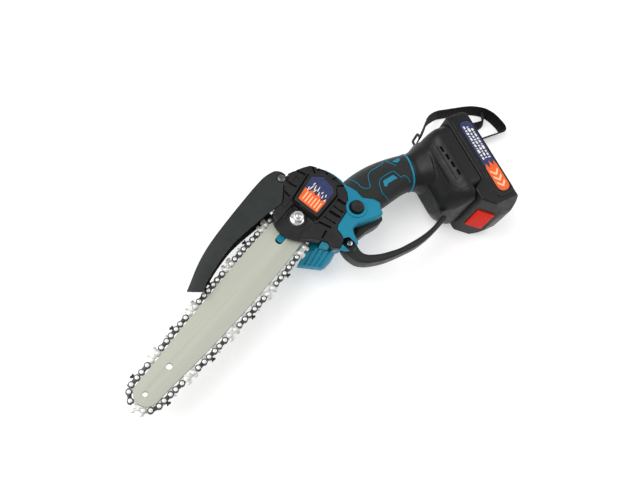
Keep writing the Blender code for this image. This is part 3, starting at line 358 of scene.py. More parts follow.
def offset_poly(pts, d):
    n = len(pts)
    area = sum(pts[i][0] * pts[(i + 1) % n][1] - pts[(i + 1) % n][0] * pts[i][1] for i in range(n))
    sg = 1.0 if area > 0 else -1.0
    out = []
    for i in range(n):
        p0, p1, p2 = pts[i - 1], pts[i], pts[(i + 1) % n]
        a = Vector((p1[0] - p0[0], p1[1] - p0[1])).normalized()
        b = Vector((p2[0] - p1[0], p2[1] - p1[1])).normalized()
        na, nb = Vector((a.y, -a.x)) * sg, Vector((b.y, -b.x)) * sg
        m = na + nb
        k = max(m.length_squared / 2.0, 0.35)
        out.append((p1[0] + m.x / k * d, p1[1] + m.y / k * d))
    return out


def circle(c, r, seg=40, a0=0.0):
    return [(c[0] + r * cos(a0 + 2 * pi * k / seg), c[1] + r * sin(a0 + 2 * pi * k / seg)) for k in range(seg)]


def slab(name, outline, n0, n1, holes=(), bevel=0.0, seg=4, angle=38, raw=False):
    """flat outline in x, y raised from n0 to n1, rims rounded"""
    cu = bpy.data.curves.new(name, 'CURVE')
    cu.dimensions = '2D'
    cu.fill_mode = 'BOTH'
    cu.extrude = (n1 - n0) * 0.5 * MM
    for loop in [outline, *holes]:
        sp = cu.splines.new('POLY')
        sp.points.add(len(loop) - 1)
        for k, p in enumerate(loop):
            v = W(p[0], p[1], 0) if not raw else Vector((p[0] * MM, p[1] * MM, 0))
            sp.points[k].co = (v.x, v.y, 0.0, 1.0)
        sp.use_cyclic_u = True
    tmp = bpy.data.objects.new(name + "_tmp", cu)
    scene.collection.objects.link(tmp)
    me = bpy.data.meshes.new_from_object(tmp.evaluated_get(bpy.context.evaluated_depsgraph_get()))
    bpy.data.objects.remove(tmp, do_unlink=True)
    bm = bmesh.new()
    bm.from_mesh(me)
    bmesh.ops.remove_doubles(bm, verts=bm.verts, dist=2e-6)
    bmesh.ops.dissolve_degenerate(bm, edges=bm.edges, dist=1e-6)
    bmesh.ops.translate(bm, verts=bm.verts, vec=(0, 0, ((n0 + n1) * 0.5 + (0 if raw else NZ)) * MM))
    bmesh.ops.dissolve_limit(bm, angle_limit=radians(0.5), verts=bm.verts, edges=bm.edges)
    bmesh.ops.recalc_face_normals(bm, faces=bm.faces)
    bm.to_mesh(me)
    bm.free()
    ob = link_temp(bpy.data.objects.new(name + "_w", me))
    if bevel > 0:
        md = ob.modifiers.new("edge", 'BEVEL')
        md.width = bevel * MM
        md.segments = seg
        md.limit_method = 'ANGLE'
        md.angle_limit = radians(angle)
        md.use_clamp_overlap = True
        md.miter_outer = 'MITER_ARC'
    return ob


def box(name, size, centre, rz=0.0, bevel=0.0, ry=0.0, rx=0.0):
    me = bpy.data.meshes.new(name)
    bm = bmesh.new()
    bmesh.ops.create_cube(bm, size=1.0)
    bmesh.ops.scale(bm, verts=bm.verts, vec=[v * MM for v in size])
    bm.to_mesh(me)
    bm.free()
    ob = link_temp(bpy.data.objects.new(name + "_w", me))
    ob.location = W(*centre)
    ob.rotation_euler = (rx, ry, rz)
    if bevel > 0:
        md = ob.modifiers.new("edge", 'BEVEL')
        md.width = bevel * MM
        md.segments = 3
    return ob


def turned(name, profile, c, seg=48):
    """body of revolution about n; profile runs (radius, n) down the outer side"""
    rings = []
    me = bpy.data.meshes.new(name)
    bm = bmesh.new()
    prof = list(profile)
    closed = prof[0][0] > 0 or prof[-1][0] > 0
    cols = []
    for r, n in prof:
        if r <= 1e-9:
            cols.append([bm.verts.new(W(c[0], c[1], n))] * seg)
        else:
            cols.append([bm.verts.new(W(c[0] + r * cos(2 * pi * k / seg), c[1] + r * sin(2 * pi * k / seg), n)) for k in range(seg)])
    m = len(cols)
    for i in range(m if closed else m - 1):
        a, b = cols[i], cols[(i + 1) % m]
        for k in range(seg):
            q = [a[k], a[(k + 1) % seg], b[(k + 1) % seg], b[k]]
            u = []
            for v in q:
                if v not in u:
                    u.append(v)
            if len(u) >= 3:
                try:
                    bm.faces.new(u)
                except ValueError:
                    pass
    bmesh.ops.recalc_face_normals(bm, faces=bm.faces)
    bm.to_mesh(me)
    bm.free()
    return link_temp(bpy.data.objects.new(name + "_w", me))


def loft(name, rings, caps=True):
    n = len(rings[0])
    verts = [tuple(p) for ring in rings for p in ring]
    faces = []
    for k in range(len(rings) - 1):
        for i in range(n):
            j = (i + 1) % n
            faces.append((k * n + i, k * n + j, (k + 1) * n + j, (k + 1) * n + i))
    if caps:
        faces.append(tuple(reversed(range(n))))
        faces.append(tuple((len(rings) - 1) * n + i for i in range(n)))
    me = bpy.data.meshes.new(name)
    me.from_pydata(verts, [], faces)
    bm = bmesh.new()
    bm.from_mesh(me)
    bmesh.ops.recalc_face_normals(bm, faces=bm.faces)
    bm.to_mesh(me)
    bm.free()
    return link_temp(bpy.data.objects.new(name + "_w", me))


def boolean(ob, other, op='DIFFERENCE'):
    md = ob.modifiers.new("b", 'BOOLEAN')
    md.operation = op
    md.solver = 'EXACT'
    md.object = other
    return ob


def remesh(ob, voxel, smooth=6, factor=0.5):
    md = ob.modifiers.new("skin", 'REMESH')
    md.mode = 'VOXEL'
    md.voxel_size = voxel * MM
    md.use_smooth_shade = True
    if smooth:
        sm = ob.modifiers.new("soft", 'SMOOTH')
        sm.factor = factor
        sm.iterations = smooth
    return ob


def freeze(ob, name=None):
    """apply every modifier and the transform"""
    dg = bpy.context.evaluated_depsgraph_get()
    dg.update()
    me = bpy.data.meshes.new_from_object(ob.evaluated_get(dg))
    me.transform(ob.matrix_world)
    out = link_temp(bpy.data.objects.new((name or ob.name) + "_f", me))
    return out


def piece(name, ob, mat, body, replaces=(), angle=32, flat=False):
    """final piece: modifiers applied, smooth shaded, riding on its body"""
    dg = bpy.context.evaluated_depsgraph_get()
    dg.update()
    me = bpy.data.meshes.new_from_object(ob.evaluated_get(dg))
    me.transform(ob.matrix_world)
    me.name = name
    me.materials.clear()
    me.materials.append(M[mat] if isinstance(mat, str) else mat)
    me.polygons.foreach_set("material_index", [0] * len(me.polygons))
    me.polygons.foreach_set("use_smooth", [not flat] * len(me.polygons))
    if not flat:
        me.set_sharp_from_angle(angle=radians(angle))
    fin = bpy.data.objects.new(name, me)
    scene.collection.objects.link(fin)
    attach(fin, body)
    if replaces:
        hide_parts(*([replaces] if isinstance(replaces, str) else replaces))
    return fin


def tube(name, pts, r, seg=8, closed=False):
    """round tube through world points"""
    cu = bpy.data.curves.new(name, 'CURVE')
    cu.dimensions = '3D'
    cu.bevel_depth = r * MM
    cu.bevel_resolution = max(1, seg // 4)
    cu.use_fill_caps = True
    sp = cu.splines.new('POLY')
    sp.points.add(len(pts) - 1)
    for k, p in enumerate(pts):
        sp.points[k].co = (*p, 1.0)
    sp.use_cyclic_u = closed
    tmp = bpy.data.objects.new(name + "_tmp", cu)
    scene.collection.objects.link(tmp)
    me = bpy.data.meshes.new_from_object(tmp.evaluated_get(bpy.context.evaluated_depsgraph_get()))
    bpy.data.objects.remove(tmp, do_unlink=True)
    return link_temp(bpy.data.objects.new(name + "_w", me))


def join(name, obs):
    """one mesh out of several work objects, modifiers applied"""
    dg = bpy.context.evaluated_depsgraph_get()
    dg.update()
    bm = bmesh.new()
    for o in obs:
        me = bpy.data.meshes.new_from_object(o.evaluated_get(dg))
        me.transform(o.matrix_world)
        bm.from_mesh(me)
    me = bpy.data.meshes.new(name)
    bm.to_mesh(me)
    bm.free()
    return link_temp(bpy.data.objects.new(name + "_w", me))


def mesh_of(ob):
    dg = bpy.context.evaluated_depsgraph_get()
    dg.update()
    me = bpy.data.meshes.new_from_object(ob.evaluated_get(dg))
    me.transform(ob.matrix_world)
    return me


def place(template, name, matrices):
    """copies of a millimetre template mesh, one for each matrix, in one mesh"""
    bm = bmesh.new()
    for mx in matrices:
        me = template.copy()
        me.transform(mx)
        bm.from_mesh(me)
        bpy.data.meshes.remove(me)
    me = bpy.data.meshes.new(name)
    bm.to_mesh(me)
    bm.free()
    return link_temp(bpy.data.objects.new(name + "_w", me))


# ------------------------------------------------------------------ guide bar
def nose_arc(r, a0, a1, k):
    return [(r * cos(radians(a0 + (a1 - a0) * i / k)), r * sin(radians(a0 + (a1 - a0) * i / k))) for i in range(k + 1)]


NOSE_C, NOSE_R, RUN_R = (2.0, -0.6), 11.3, 14.5


def bar_outline():
    top = spline([(207, 14.6), (190, 16.1), (145, 16.0), (120, 15.6), (100, 14.9), (69, 13.9), (56, 13.2), (37, 12.2), (18.6, 11.15), (8, 10.78), (1.2, 10.67)], 6)
    low = spline([(1.2, -11.87), (12, -12.2), (25, -13.2), (43, -14.8), (56, -15.8), (75, -16.9), (94, -17.7), (113, -18.2), (126, -18.4), (144, -18.4), (163, -18.2), (190, -17.4), (207, -15.4)], 6)
    arc = [(NOSE_C[0] + x, NOSE_C[1] + y) for x, y in nose_arc(NOSE_R, 94, 266, 48)]
    return [(213, 8.0)] + top + arc[1:-1] + low + [(213, -8.0)]


bar_out = bar_outline()
bar_slot = fillet([(175, 3.6), (175, -3.6), (210, -3.6), (210, 3.6)], [3.5, 3.5, 0, 0], 8)
bar = slab("bar", bar_out, -2.0, 2.0, holes=[bar_slot, circle((0, 0), 2.1, 32), circle((29, 0), 2.7, 36)], bevel=0.22, seg=2, angle=50)
groove = slab("bar_groove", offset_poly(bar_out, 3.0), -0.75, 0.75, holes=[offset_poly(bar_out, -4.6)])
boolean(bar, groove)
piece("bar_blade", bar, "bar", "saw", "guide_bar")
rings = []
for (cx, cy, r0, r1) in ((0, 0, 2.15, 2.9), (29, 0, 2.75, 3.35)):
    for sg in (1, -1):
        prof = [(r0, 2.0 * sg), (r0, 2.12 * sg), (r1 - 0.25, 2.12 * sg), (r1, 2.0 * sg)]
        rings.append(turned("bar_ring", prof if sg > 0 else list(reversed(prof)), (cx, cy), 40))
piece("bar_hole_rims", join("bar_hole_rims", rings), "bar", "saw")
# the lug on the housing that keys into the slot of the bar
key = slab("bar_key", fillet([(176.6, 3.2), (176.6, -3.2), (200, -3.2), (200, 3.2)], 2.8, 8), -4.4, 2.35)
piece("bar_key", key, "teal", "saw")


# ------------------------------------------------------------------ saw chain
def chain_line():
    pts = [(NOSE_C[0] + x, NOSE_C[1] + y) for x, y in nose_arc(RUN_R, 262, 98, 40)]
    upr = spline([pts[-1], (8, 13.95), (18.6, 14.35), (37, 15.35), (56, 16.4), (75, 17.2), (100, 18.05), (120, 18.7), (145, 19.2), (165, 19.15), (188, 18.9), (210, 17.6),
                  (234.0 + 14.6 * cos(radians(84)), 14.6 * sin(radians(84)))], 8)[1:]
    arc = [(234.0 + 14.6 * cos(radians(a)), 14.6 * sin(radians(a))) for a in range(80, -92, -4)]
    low = spline([arc[-1], (210, -18.6), (188, -21.6), (176, -22.2), (157, -23.0), (144, -23.3), (126, -23.5), (113, -23.2), (94, -22.2), (75, -21.1), (56, -20.0),
                  (43, -19.0), (25, -17.0), (12, -15.75), (5.5, -15.2), pts[0]], 8)[1:-1]
    return pts + upr + arc + low


LINE = chain_line()
SEGS = [hypot(LINE[(i + 1) % len(LINE)][0] - LINE[i][0], LINE[(i + 1) % len(LINE)][1] - LINE[i][1]) for i in range(len(LINE))]
TOTAL = sum(SEGS)
ROLLERS = 88
STEP = TOTAL / ROLLERS


def at_length(d):
    d %= TOTAL
    i = 0
    while d > SEGS[i]:
        d -= SEGS[i]
        i += 1
    a, b = LINE[i], LINE[(i + 1) % len(LINE)]
    u = d / SEGS[i]
    return (a[0] + (b[0] - a[0]) * u, a[1] + (b[1] - a[1]) * u)


START = RUN_R * radians(262 - 102.0)
PITCH = 6.31
STRAP_L = PITCH * 1.10
GAP_L = PITCH * 0.90
# even rollers: (number, distance along the line); the runs share one pitch, the hidden turn takes up the rest
LEFT = START - 40.3
STOPS = [(-34, LEFT - 28 * PITCH), (-6, LEFT), (0, START), (30, START + 30 * PITCH), (54, LEFT - 28 * PITCH + TOTAL)]


def roller_distance(k):
    for (k0, d0), (k1, d1) in zip(STOPS, STOPS[1:]):
        if k0 <= k <= k1:
            return d0 + (d1 - d0) * (k - k0) / (k1 - k0)
    return 0.0


PINS = [None] * ROLLERS
for k in range(-34, 54, 2):
    d0, d1 = roller_distance(k), roller_distance(k + 2)
    PINS[k % ROLLERS] = at_length(d0)
    PINS[(k + 1) % ROLLERS] = at_length(d0 + (d1 - d0) * 0.55)


def frame_of(i, j):
    a, b = PINS[i % ROLLERS], PINS[j % ROLLERS]
    th = atan2(b[1] - a[1], b[0] - a[0])
    fit = hypot(b[0] - a[0], b[1] - a[1]) / (STRAP_L if (j - i) == 1 and i % 2 == 0 else GAP_L)
    return Matrix.Translation(W(a[0], a[1], 0.0)) @ Matrix.Rotation(th, 4, 'Z') @ Matrix.Scale(fit, 4, Vector((1, 0, 0)))


def plate(name, outline, n0, n1, bevel=0.18, seg=2, holes=()):
    ob = slab(name, outline, n0, n1, holes=holes, bevel=bevel, seg=seg, angle=45, raw=True)
    me = mesh_of(ob)
    return me


def eyes(r, waist, length, top=None, bottom=None, seg=12):
    """figure-eight outline round two rivets at (0,0) and (length,0), with extra profiles"""
    a0 = 38.0
    pts = [(length + r * cos(radians(a)), r * sin(radians(a))) for a in
           [-180 + a0 + (360 - 2 * a0) * k / (2 * seg) for k in range(2 * seg + 1)]]
    pts += top if top else [(length * 0.5 + 0.8, waist), (length * 0.5 - 0.8, waist)]
    pts += [(r * cos(radians(a)), r * sin(radians(a))) for a in [a0 + (360 - 2 * a0) * k / (2 * seg) for k in range(2 * seg + 1)]]
    pts += bottom if bottom else [(length * 0.5 - 0.8, -waist), (length * 0.5 + 0.8, -waist)]
    return pts


SL = STRAP_L
tie_out = eyes(2.72, 1.75, SL)
tie_near = plate("tie_near", tie_out, 0.85, 2.15)
tie_far = plate("tie_far", tie_out, -2.15, -0.85)
# bumper: a tall block beside the second rivet and a low one beside the first
bump_block = plate("bump_block", fillet([(SL - 1.9, 2.0), (SL + 0.1, 2.0), (SL + 0.2, 3.1), (SL + 0.9, 3.9), (SL + 0.8, 5.2), (SL - 0.6, 4.7), (SL - 2.2, 5.3), (SL - 3.1, 4.7), (SL - 3.0, 3.7), (SL - 2.0, 3.1)], 0.2, 3), -1.1, 1.1, 0.15)
bump_low = plate("bump_low", fillet([(-2.9, 1.4), (-1.2, 1.9), (-1.2, 3.2), (-1.9, 4.3), (-3.1, 4.4), (-3.5, 3.4), (-2.6, 3.0)], 0.3, 3), -0.62, 0.62, 0.12)
# cutter: gauge in front, gullet, raised tooth with a bent top plate
cut_top = [(SL + 2.4, 1.9), (SL + 3.3, 3.5), (SL + 3.1, 5.0), (SL + 0.4, 5.4), (SL - 1.8, 4.7), (SL - 1.6, 3.5), (SL - 2.3, 2.5), (SL * 0.5 + 0.2, 1.9),
           (1.5, 2.5), (1.4, 4.2), (0.5, 5.0), (-1.1, 4.6), (-2.5, 3.6), (-1.9, 2.3)]
cut_plate = [(SL + 2.75 * cos(radians(a)), 2.75 * sin(radians(a))) for a in range(-140, 31, 10)] + cut_top + \
            [(2.75 * cos(radians(a)), 2.75 * sin(radians(a))) for a in range(140, 321, 10)] + [(SL * 0.5, -1.8)]
cut_near = plate("cut_near", cut_plate, 0.85, 2.3, 0.2)
cut_far = plate("cut_far", cut_plate, -2.3, -0.85, 0.2)
tie_silver_near = plate("tie_sn", tie_out, 0.85, 2.15)
tie_silver_far = plate("tie_sf", tie_out, -2.15, -0.85)


def top_plate(sg):
    ob = slab("top_plate", fillet([(SL - 1.8, -2.2 * sg), (SL - 1.2, 2.2 * sg), (SL + 3.2, 2.2 * sg), (SL + 2.2, -2.7 * sg)], 0.5, 3), 4.6, 5.4, bevel=0.2, seg=2, raw=True)
    me = mesh_of(ob)
    me.transform(Matrix(((1, 0, 0, 0), (0, 0, 1, 0), (0, 1, 0, 0), (0, 0, 0, 1))))
    me.flip_normals()
    me.transform(Matrix.Translation((0, -0.00035, 0)) @ Matrix.Rotation(radians(-4), 4, 'Z'))
    return me


tops = {1: top_plate(1), -1: top_plate(-1)}
GL = GAP_L
drive = plate("drive", [(GL + 2.35 * cos(radians(a)), 2.35 * sin(radians(a))) for a in range(-60, 121, 15)] +
              [(2.35 * cos(radians(a)), 2.35 * sin(radians(a))) for a in range(60, 241, 15)] +
              [(0.2, -3.4), (0.9, -5.2), (2.1, -6.7), (3.1, -6.7), (4.6, -4.8), (5.6, -3.0)], -0.62, 0.62, 0.12, 1)
rivet_prof = [(0.0, 2.95), (1.1, 2.93), (1.6, 2.78), (1.84, 2.45), (1.87, 2.1), (1.87, -2.1), (1.84, -2.45), (1.6, -2.78), (1.1, -2.93), (0.0, -2.95)]
rv = turned("rivet", rivet_prof, (CX, CY), 20)
rivet = mesh_of(rv)
rivet.transform(Matrix.Translation((0, 0, -NZ * MM)))

ties, cutters, bumps_dark, bumps_light, drives, rivets, silver = [], [], [], [], [], [], []
ties_n, ties_f, cn, cf, tn, tf, sn, sf = [], [], [], [], [], [], [], []
for k in range(0, ROLLERS, 2):
    mx = frame_of(k, k + 1)
    if k % 8 == 4:
        if (k // 8) % 2 == 0:
            cn.append(mx), sf.append(mx), tn.append(mx)
        else:
            cn.append(mx), sf.append(mx), tn.append(mx)
    else:
        ties_n.append(mx), ties_f.append(mx)
        if k % 8 == 0:
            bumps_dark.append(mx)
            bumps_light.append(mx)
    drives.append(frame_of(k + 1, k + 2))
for p in PINS:
    rivets.append(Matrix.Translation(W(p[0], p[1], 0.0)))
chain_a = join("c", [place(tie_near, "a", ties_n), place(tie_far, "b", ties_f)])
piece("chain_tie_straps", chain_a, "strap_steel", "saw", "saw_chain", angle=40)
chain_b = join("c", [place(cut_near, "a", cn), place(tie_silver_far, "b", sf), place(tops[1], "c", tn)])
piece("chain_cutters", chain_b, "cutter_steel", "saw", angle=40)
piece("chain_bumpers", place(bump_block, "a", bumps_dark), "bump_steel", "saw", angle=40)
chain_c = join("c", [place(bump_low, "a", bumps_light), place(drive, "b", drives)])
piece("chain_drive_links", chain_c, "drive_steel", "saw", angle=40)
piece("chain_rivets", place(rivet, "a", rivets), "rivet_steel", "saw", angle=60)

# ------------------------------------------------------------------ sprocket cover
COVER = [(241.6, 30.6), (248.3, 27.4), (254.7, 23.5), (257.5, 18.1), (259.8, 11.5), (261.4, 4.2), (262.0, -3.7), (260.5, -11.8), (256.3, -19.6), (250.0, -25.2),
         (246.0, -28.4), (238.8, -31.1), (232.6, -31.9), (223.2, -32.8), (218.8, -34.8), (217.5, -40.5), (214.9, -45.4), (209.9, -47.2), (205.0, -48.1), (201.8, -44.7),
         (200.7, -41.0), (201.9, -36.6), (199.8, -31.2), (195.4, -24.0), (187.8, -14.7), (183.0, -4.7), (182.5, 3.1), (184.2, 10.2), (188.2, 17.8), (197, 21.5),
         (208, 26), (217, 34), (226, 36), (233.6, 33.8)]
cover_out = fillet(COVER, 3.0, 4)
BLOCK = [(213.6, 12.4), (213.4, -14.6), (245.0, -14.4), (250.9, -9.0), (253.9, 7.2), (244.8, 17.9), (218.0, 13.9)]
CG_UP = [(231.4, 35.6), (230.6, 40.4), (227.4, 44.8), (222.1, 47.0), (214.4, 48.6), (202, 48.7), (186, 47.9), (170.4, 46.9), (155, 45.7), (140, 44.3), (127.5, 42.6),
         (115.7, 40.1), (105, 37.0), (93, 32.6), (81.6, 28.6)]
CG_LOW = [(91.5, 17.2), (100.3, 21.6), (113.8, 24.6), (128.1, 26.8), (144.7, 27.9), (160, 26.8), (174.8, 24.9), (188.6, 22.6), (198.9, 20.5), (205.3, 19.6), (210.7, 22.3), (217.6, 27.4), (222.2, 30.4), (228, 31.2)]
cg_out = runs(CG_UP, [CG_UP[-1], CG_LOW[0]], CG_LOW, [CG_LOW[-1], CG_UP[0]], per=5)
cover = slab("cover", cover_out, -4.2, 13.2, bevel=1.5, seg=4)
wall_up = [(204, 48.3), (186, 47.7), (170.4, 46.7), (155, 45.5), (140, 44.1), (127.5, 42.4), (115.7, 39.9), (105, 36.8), (93, 32.4), (81.8, 28.4)]
wall_low = [(91.7, 17.6), (100.3, 21.8), (113.8, 24.8), (128.1, 27.0), (144.7, 28.1), (160, 27.0), (174.8, 25.1), (188.6, 22.8), (198.9, 21.2)]
wall_out = runs(wall_up, [wall_up[-1], wall_low[0]], wall_low, [wall_low[-1], wall_up[0]], per=5)
boolean(cover, slab("cover_guard_gap", offset_poly(cg_out, 0.6), 8.3, 20))
boolean(cover, slab("cover_wall_gap", offset_poly(wall_out, 0.8), -20, 20))
boolean(cover, slab("cover_pivot_gap", circle(PIVOT, 6.9, 48), 8.3, 20))
boolean(cover, slab("cover_pivot_bore", circle(PIVOT, 5.0, 48), -20, 20))
for deg in (20, 40, 60):
    ca, sa = cos(radians(-deg)), sin(radians(-deg))
    turned_out = [(PIVOT[0] + ca * (x - PIVOT[0]) - sa * (y - PIVOT[1]), PIVOT[1] + sa * (x - PIVOT[0]) + ca * (y - PIVOT[1])) for x, y in offset_poly(cg_out, 0.5)]
    boolean(cover, slab("cover_lift_gap", turned_out, 8.3, 20))
low_front = slab("cover_low", fillet([(170, 11.5), (212.6, 11.5), (211.8, -14.5), (170, -14.5)], [0, 2.5, 2.5, 0], 5), 7.6, 30, bevel=0.9, seg=2)
boolean(cover, low_front)
boolean(cover, slab("cover_corner", [(190, -33.5), (215.5, -33.5), (219.5, -40), (219, -52), (190, -52)], -20, 8.6))
inside = slab("cover_inside", [(189, 14), (196, 17.0), (206, 17.6), (214, 20), (224, 26), (236, 27), (246, 24.6), (252.6, 20.6), (256, 12), (258.6, 4), (258.8, -5),
                               (256, -14.5), (250, -20.5), (243, -25.6), (235, -28), (222, -29.4), (206, -30), (198, -22), (190, -14)], -9.0, 5.4)
boolean(cover, inside)
mouth = slab("cover_mouth", [(160, 34), (214, 34), (218, 26.9), (214, 20), (214, -26), (204, -29), (196, -31), (160, -31)], -9.0, 5.4)
boolean(cover, mouth)
boolean(cover, slab("cover_stud", circle(NUT, 3.6, 28), -10, 20))
boolean(cover, slab("cover_shaft_bore", circle(SPROCKET, 6.0, 48), -20, 10.4))
# near-black sheets at the slit bottoms: painted shade inside the slits
shades = []
for i, (x0, y0, x1, y1, wd) in enumerate([(243.3, 20.8, 240.4, 31.5, 2.3), (254.9, 13.6, 260.0, 19.6, 2.2), (257.0, 6.1, 264.0, 6.8, 2.2), (254.2, -8.6, 261.6, -16.6, 2.4),
                                            (227.4, 19.4, 225.0, 31.0, 2.6), (214.9, 18.2, 216.4, 27.0, 2.2), (243.6, -16.8, 244.6, -27.6, 2.6), (235.2, -18.6, 235.9, -29.6, 2.0),
                                            (228.7, -18.6, 229.9, -30.6, 2.6), (220.6, -18.4, 221.8, -30.6, 2.0), (212.7, -17.9, 215.6, -30.0, 2.4), (201.6, -29.6, 210.4, -28.2, 2.0),
                                            (250.4, 14.6, 254.6, 21.0, 1.8), (256.4, -1.6, 263.0, -3.6, 1.8)]):
    ln = hypot(x1 - x0, y1 - y0)
    boolean(cover, box("cover_slit", (ln, wd, 5.2), ((x0 + x1) / 2, (y0 + y1) / 2, 13.4), atan2(y1 - y0, x1 - x0)))
    shades.append(box("slit_shade", (ln - 0.2, wd - 0.1, 0.5), ((x0 + x1) / 2, (y0 + y1) / 2, 11.1), atan2(y1 - y0, x1 - x0)))
# lowered tiles between the slits
for q in ([(243.4, -17.8), (236.2, -18.4), (236.4, -27.0), (244.0, -25.2)], [(228.4, -19.2), (221.4, -19.2), (222.6, -28.4), (229.4, -27.8)],
          [(227.0, 20.4), (236.5, 21.0), (236.0, 27.0), (226.0, 26.0)], [(255.6, 8.0), (259.0, 7.6), (258.2, 14.0), (255.2, 13.0)],
          [(256.4, -3.6), (259.6, -4.4), (257.8, -12.0), (254.6, -8.6)]):
    boolean(cover, slab("cover_tile", fillet(q, 0.7, 3), 12.2, 16))
# rails on both sides of the window block
for x0, y0, x1, y1 in ((246.0, -16.6, 209.6, -17.0), (245.2, 20.0, 216.6, 16.4), (216.6, 16.4, 203.4, 15.8)):
    ln = hypot(x1 - x0, y1 - y0)
    boolean(cover, box("cover_rail", (ln, 1.5, 3.0), ((x0 + x1) / 2, (y0 + y1) / 2, 13.2), atan2(y1 - y0, x1 - x0), bevel=0.3), 'UNION')
boolean(cover, slab("cover_moat", fillet(offset_poly(BLOCK, 1.6), 3.2, 5), 12.2, 15.0, holes=[fillet(offset_poly(BLOCK, 0.2), 2.6, 5)]))
piece("cover_shell", cover, "cover", "saw", "sprocket_cover")
shade = join("cover_shade", shades)
boolean(shade, slab("shade_keep", offset_poly(cover_out, -0.6), 5, 20), 'INTERSECT')
# the painted-shade sheets at the slit bottoms keep off the guard lever, at rest and lifted
boolean(shade, slab("shade_guard_gap", offset_poly(cg_out, 1.0), 5, 20))
boolean(shade, slab("shade_pivot_gap", circle(PIVOT, 9.2, 48), 5, 20))
piece("cover_slit_shade_sheet", shade, "dark", "saw")
# near-black sheet at the bottom of the moat round the window block: painted shade in the groove
piece("cover_moat_shade_sheet", slab("moat_shade_sheet", fillet(offset_poly(BLOCK, 1.45), 3.1, 5), 12.0, 12.32, holes=[fillet(offset_poly(BLOCK, 0.3), 2.6, 5)]), "dark", "saw")
window = slab("cover_window", fillet(BLOCK, 2.6, 5), 10.6, 17.0, bevel=0.9, seg=3)
boolean(window, slab("window_sink", fillet(offset_poly(BLOCK, -2.9), 1.9, 5), 16.3, 20.0))
piece("cover_window", window, "cover", "saw")
# ring floor round the nut inside the cut-down corner
pad = turned("nut_pad", [(3.7, 8.1), (9.2, 8.1), (9.7, 7.7), (9.7, 7.2), (3.7, 7.2)], NUT, 56)
piece("nut_seat", pad, "cover", "saw")


def badge_layers(prefix, parts, body, replaces=None):
    """printed film: flat layers, each a hair above the one below"""
    first = True
    for nm, mat, polys, n0, n1 in parts:
        obs = [slab(prefix + nm, q, n0, n1) for q in polys]
        piece(prefix + nm, join(prefix + nm, obs), mat, body, replaces if first and replaces else ())
        first = False


def lerp2(a, b, u):
    return (a[0] + (b[0] - a[0]) * u, a[1] + (b[1] - a[1]) * u)


def quad_point(q, u, v):
    """bilinear place inside a four-cornered area"""
    return lerp2(lerp2(q[0], q[1], u), lerp2(q[3], q[2], u), v)


badge = fillet(offset_poly(BLOCK, -3.1), 1.6, 5)
zig = [(229.6, -16), (232.4, -9.6), (229.0, -6.6), (233.8, -2.6), (229.6, 0.6), (233.2, 4.2), (229.8, 7.4), (231.4, 16)]
low_slab = slab("low_raw", [(205, 16), (205, -16)] + zig, 16.9, 17.02)
boolean(low_slab, slab("low_keep", fillet(offset_poly(BLOCK, -3.25), 1.5, 5), 16, 18), 'INTERSECT')
streaks = []
for i in range(6):
    y = -9.9 + i * 3.3
    streaks.append(fillet([(218.4 + 0.5 * (i % 2), y), (218.4 + 0.5 * (i % 2), y + 1.2), (227.4 + 0.9 * ((i * 2) % 3), y + 1.6), (228.0 + 0.9 * ((i * 2) % 3), y + 0.5)], 0.3, 2))
whites = []
for i, (x, y, ln, a) in enumerate([(231.6, 9.4, 4.6, 12), (234.4, 7.6, 6.2, -10), (236.6, 5.0, 5.4, 14), (234.0, 3.2, 3.4, -16), (237.4, 1.6, 5.2, 8), (239.4, 7.8, 3.0, -10),
                                   (233.6, -1.2, 4.0, 12), (236.8, -3.4, 3.0, -12), (233.4, -5.6, 3.6, 8), (236.4, -7.6, 2.8, 14), (231.8, -9.6, 3.0, -8)]):
    ca, sa = cos(radians(a)), sin(radians(a))
    whites.append([(x + ca * u - sa * v, y + sa * u + ca * v) for u, v in ((-ln / 2, -0.5), (ln / 2, -0.2), (ln / 2, 0.45), (-ln / 2, 0.6))])
badge_layers("window_film_", [("base", "navy", [badge], 16.35, 16.95), ("streak", "pale", streaks, 17.02, 17.05),
                              ("mark", "white", whites, 16.95, 17.05)], "saw", "cover_badge")
piece("window_film_low", low_slab, "orange", "saw")


# ------------------------------------------------------------------ fasteners
def cross_recess(ob, c, n_top, r, depth, up=True, slots=2):
    for i in range(slots):
        a = radians(45 + i * 180 / slots)
        b = box("rec", (r * 1.25, r * 0.26, depth * 2), (c[0], c[1], n_top), a)
        boolean(ob, b)
    boolean(ob, turned("rec_c", [(0.0, n_top + 0.5), (r * 0.34, n_top + 0.5), (r * 0.22, n_top - depth * 0.9), (0.0, n_top - depth * 0.9)] if up else
                       [(0.0, n_top + depth * 0.9), (r * 0.22, n_top + depth * 0.9), (r * 0.34, n_top - 0.5), (0.0, n_top - 0.5)], c, 20))
    return ob


stud = [(0.0, 15.6), (2.2, 15.6), (2.75, 15.1)]
n = 14.9
while n > 8.2:
    stud += [(2.9, n), (2.55, n - 0.4)]
    n -= 0.8
stud += [(2.9, 8.0), (2.9, -12.5), (0.0, -12.5)]
piece("stud_thread", turned("stud", stud, NUT, 36), "steel", "saw", "bar_stud", angle=60)
hexa = slab("nut_hex", circle(NUT, 5.9, 6, radians(12)), 9.0, 14.0, holes=[circle(NUT, 2.98, 32)], bevel=0.12, seg=2)
chamfer = turned("nut_chamfer", [(0.0, 20.0), (3.6, 15.2), (6.6, 12.9), (6.6, 0.0), (0.0, 0.0)], NUT, 48)
boolean(hexa, chamfer, 'INTERSECT')
flange = turned("nut_flange", [(3.0, 9.9), (5.6, 9.9), (6.6, 9.5), (7.2, 8.9), (7.4, 8.4), (7.4, 7.95), (3.0, 7.95)], NUT, 56)
bevelled = turned("nut_collar", [(3.0, 14.25), (3.9, 14.05), (4.5, 13.6), (3.0, 13.4)], NUT, 40)
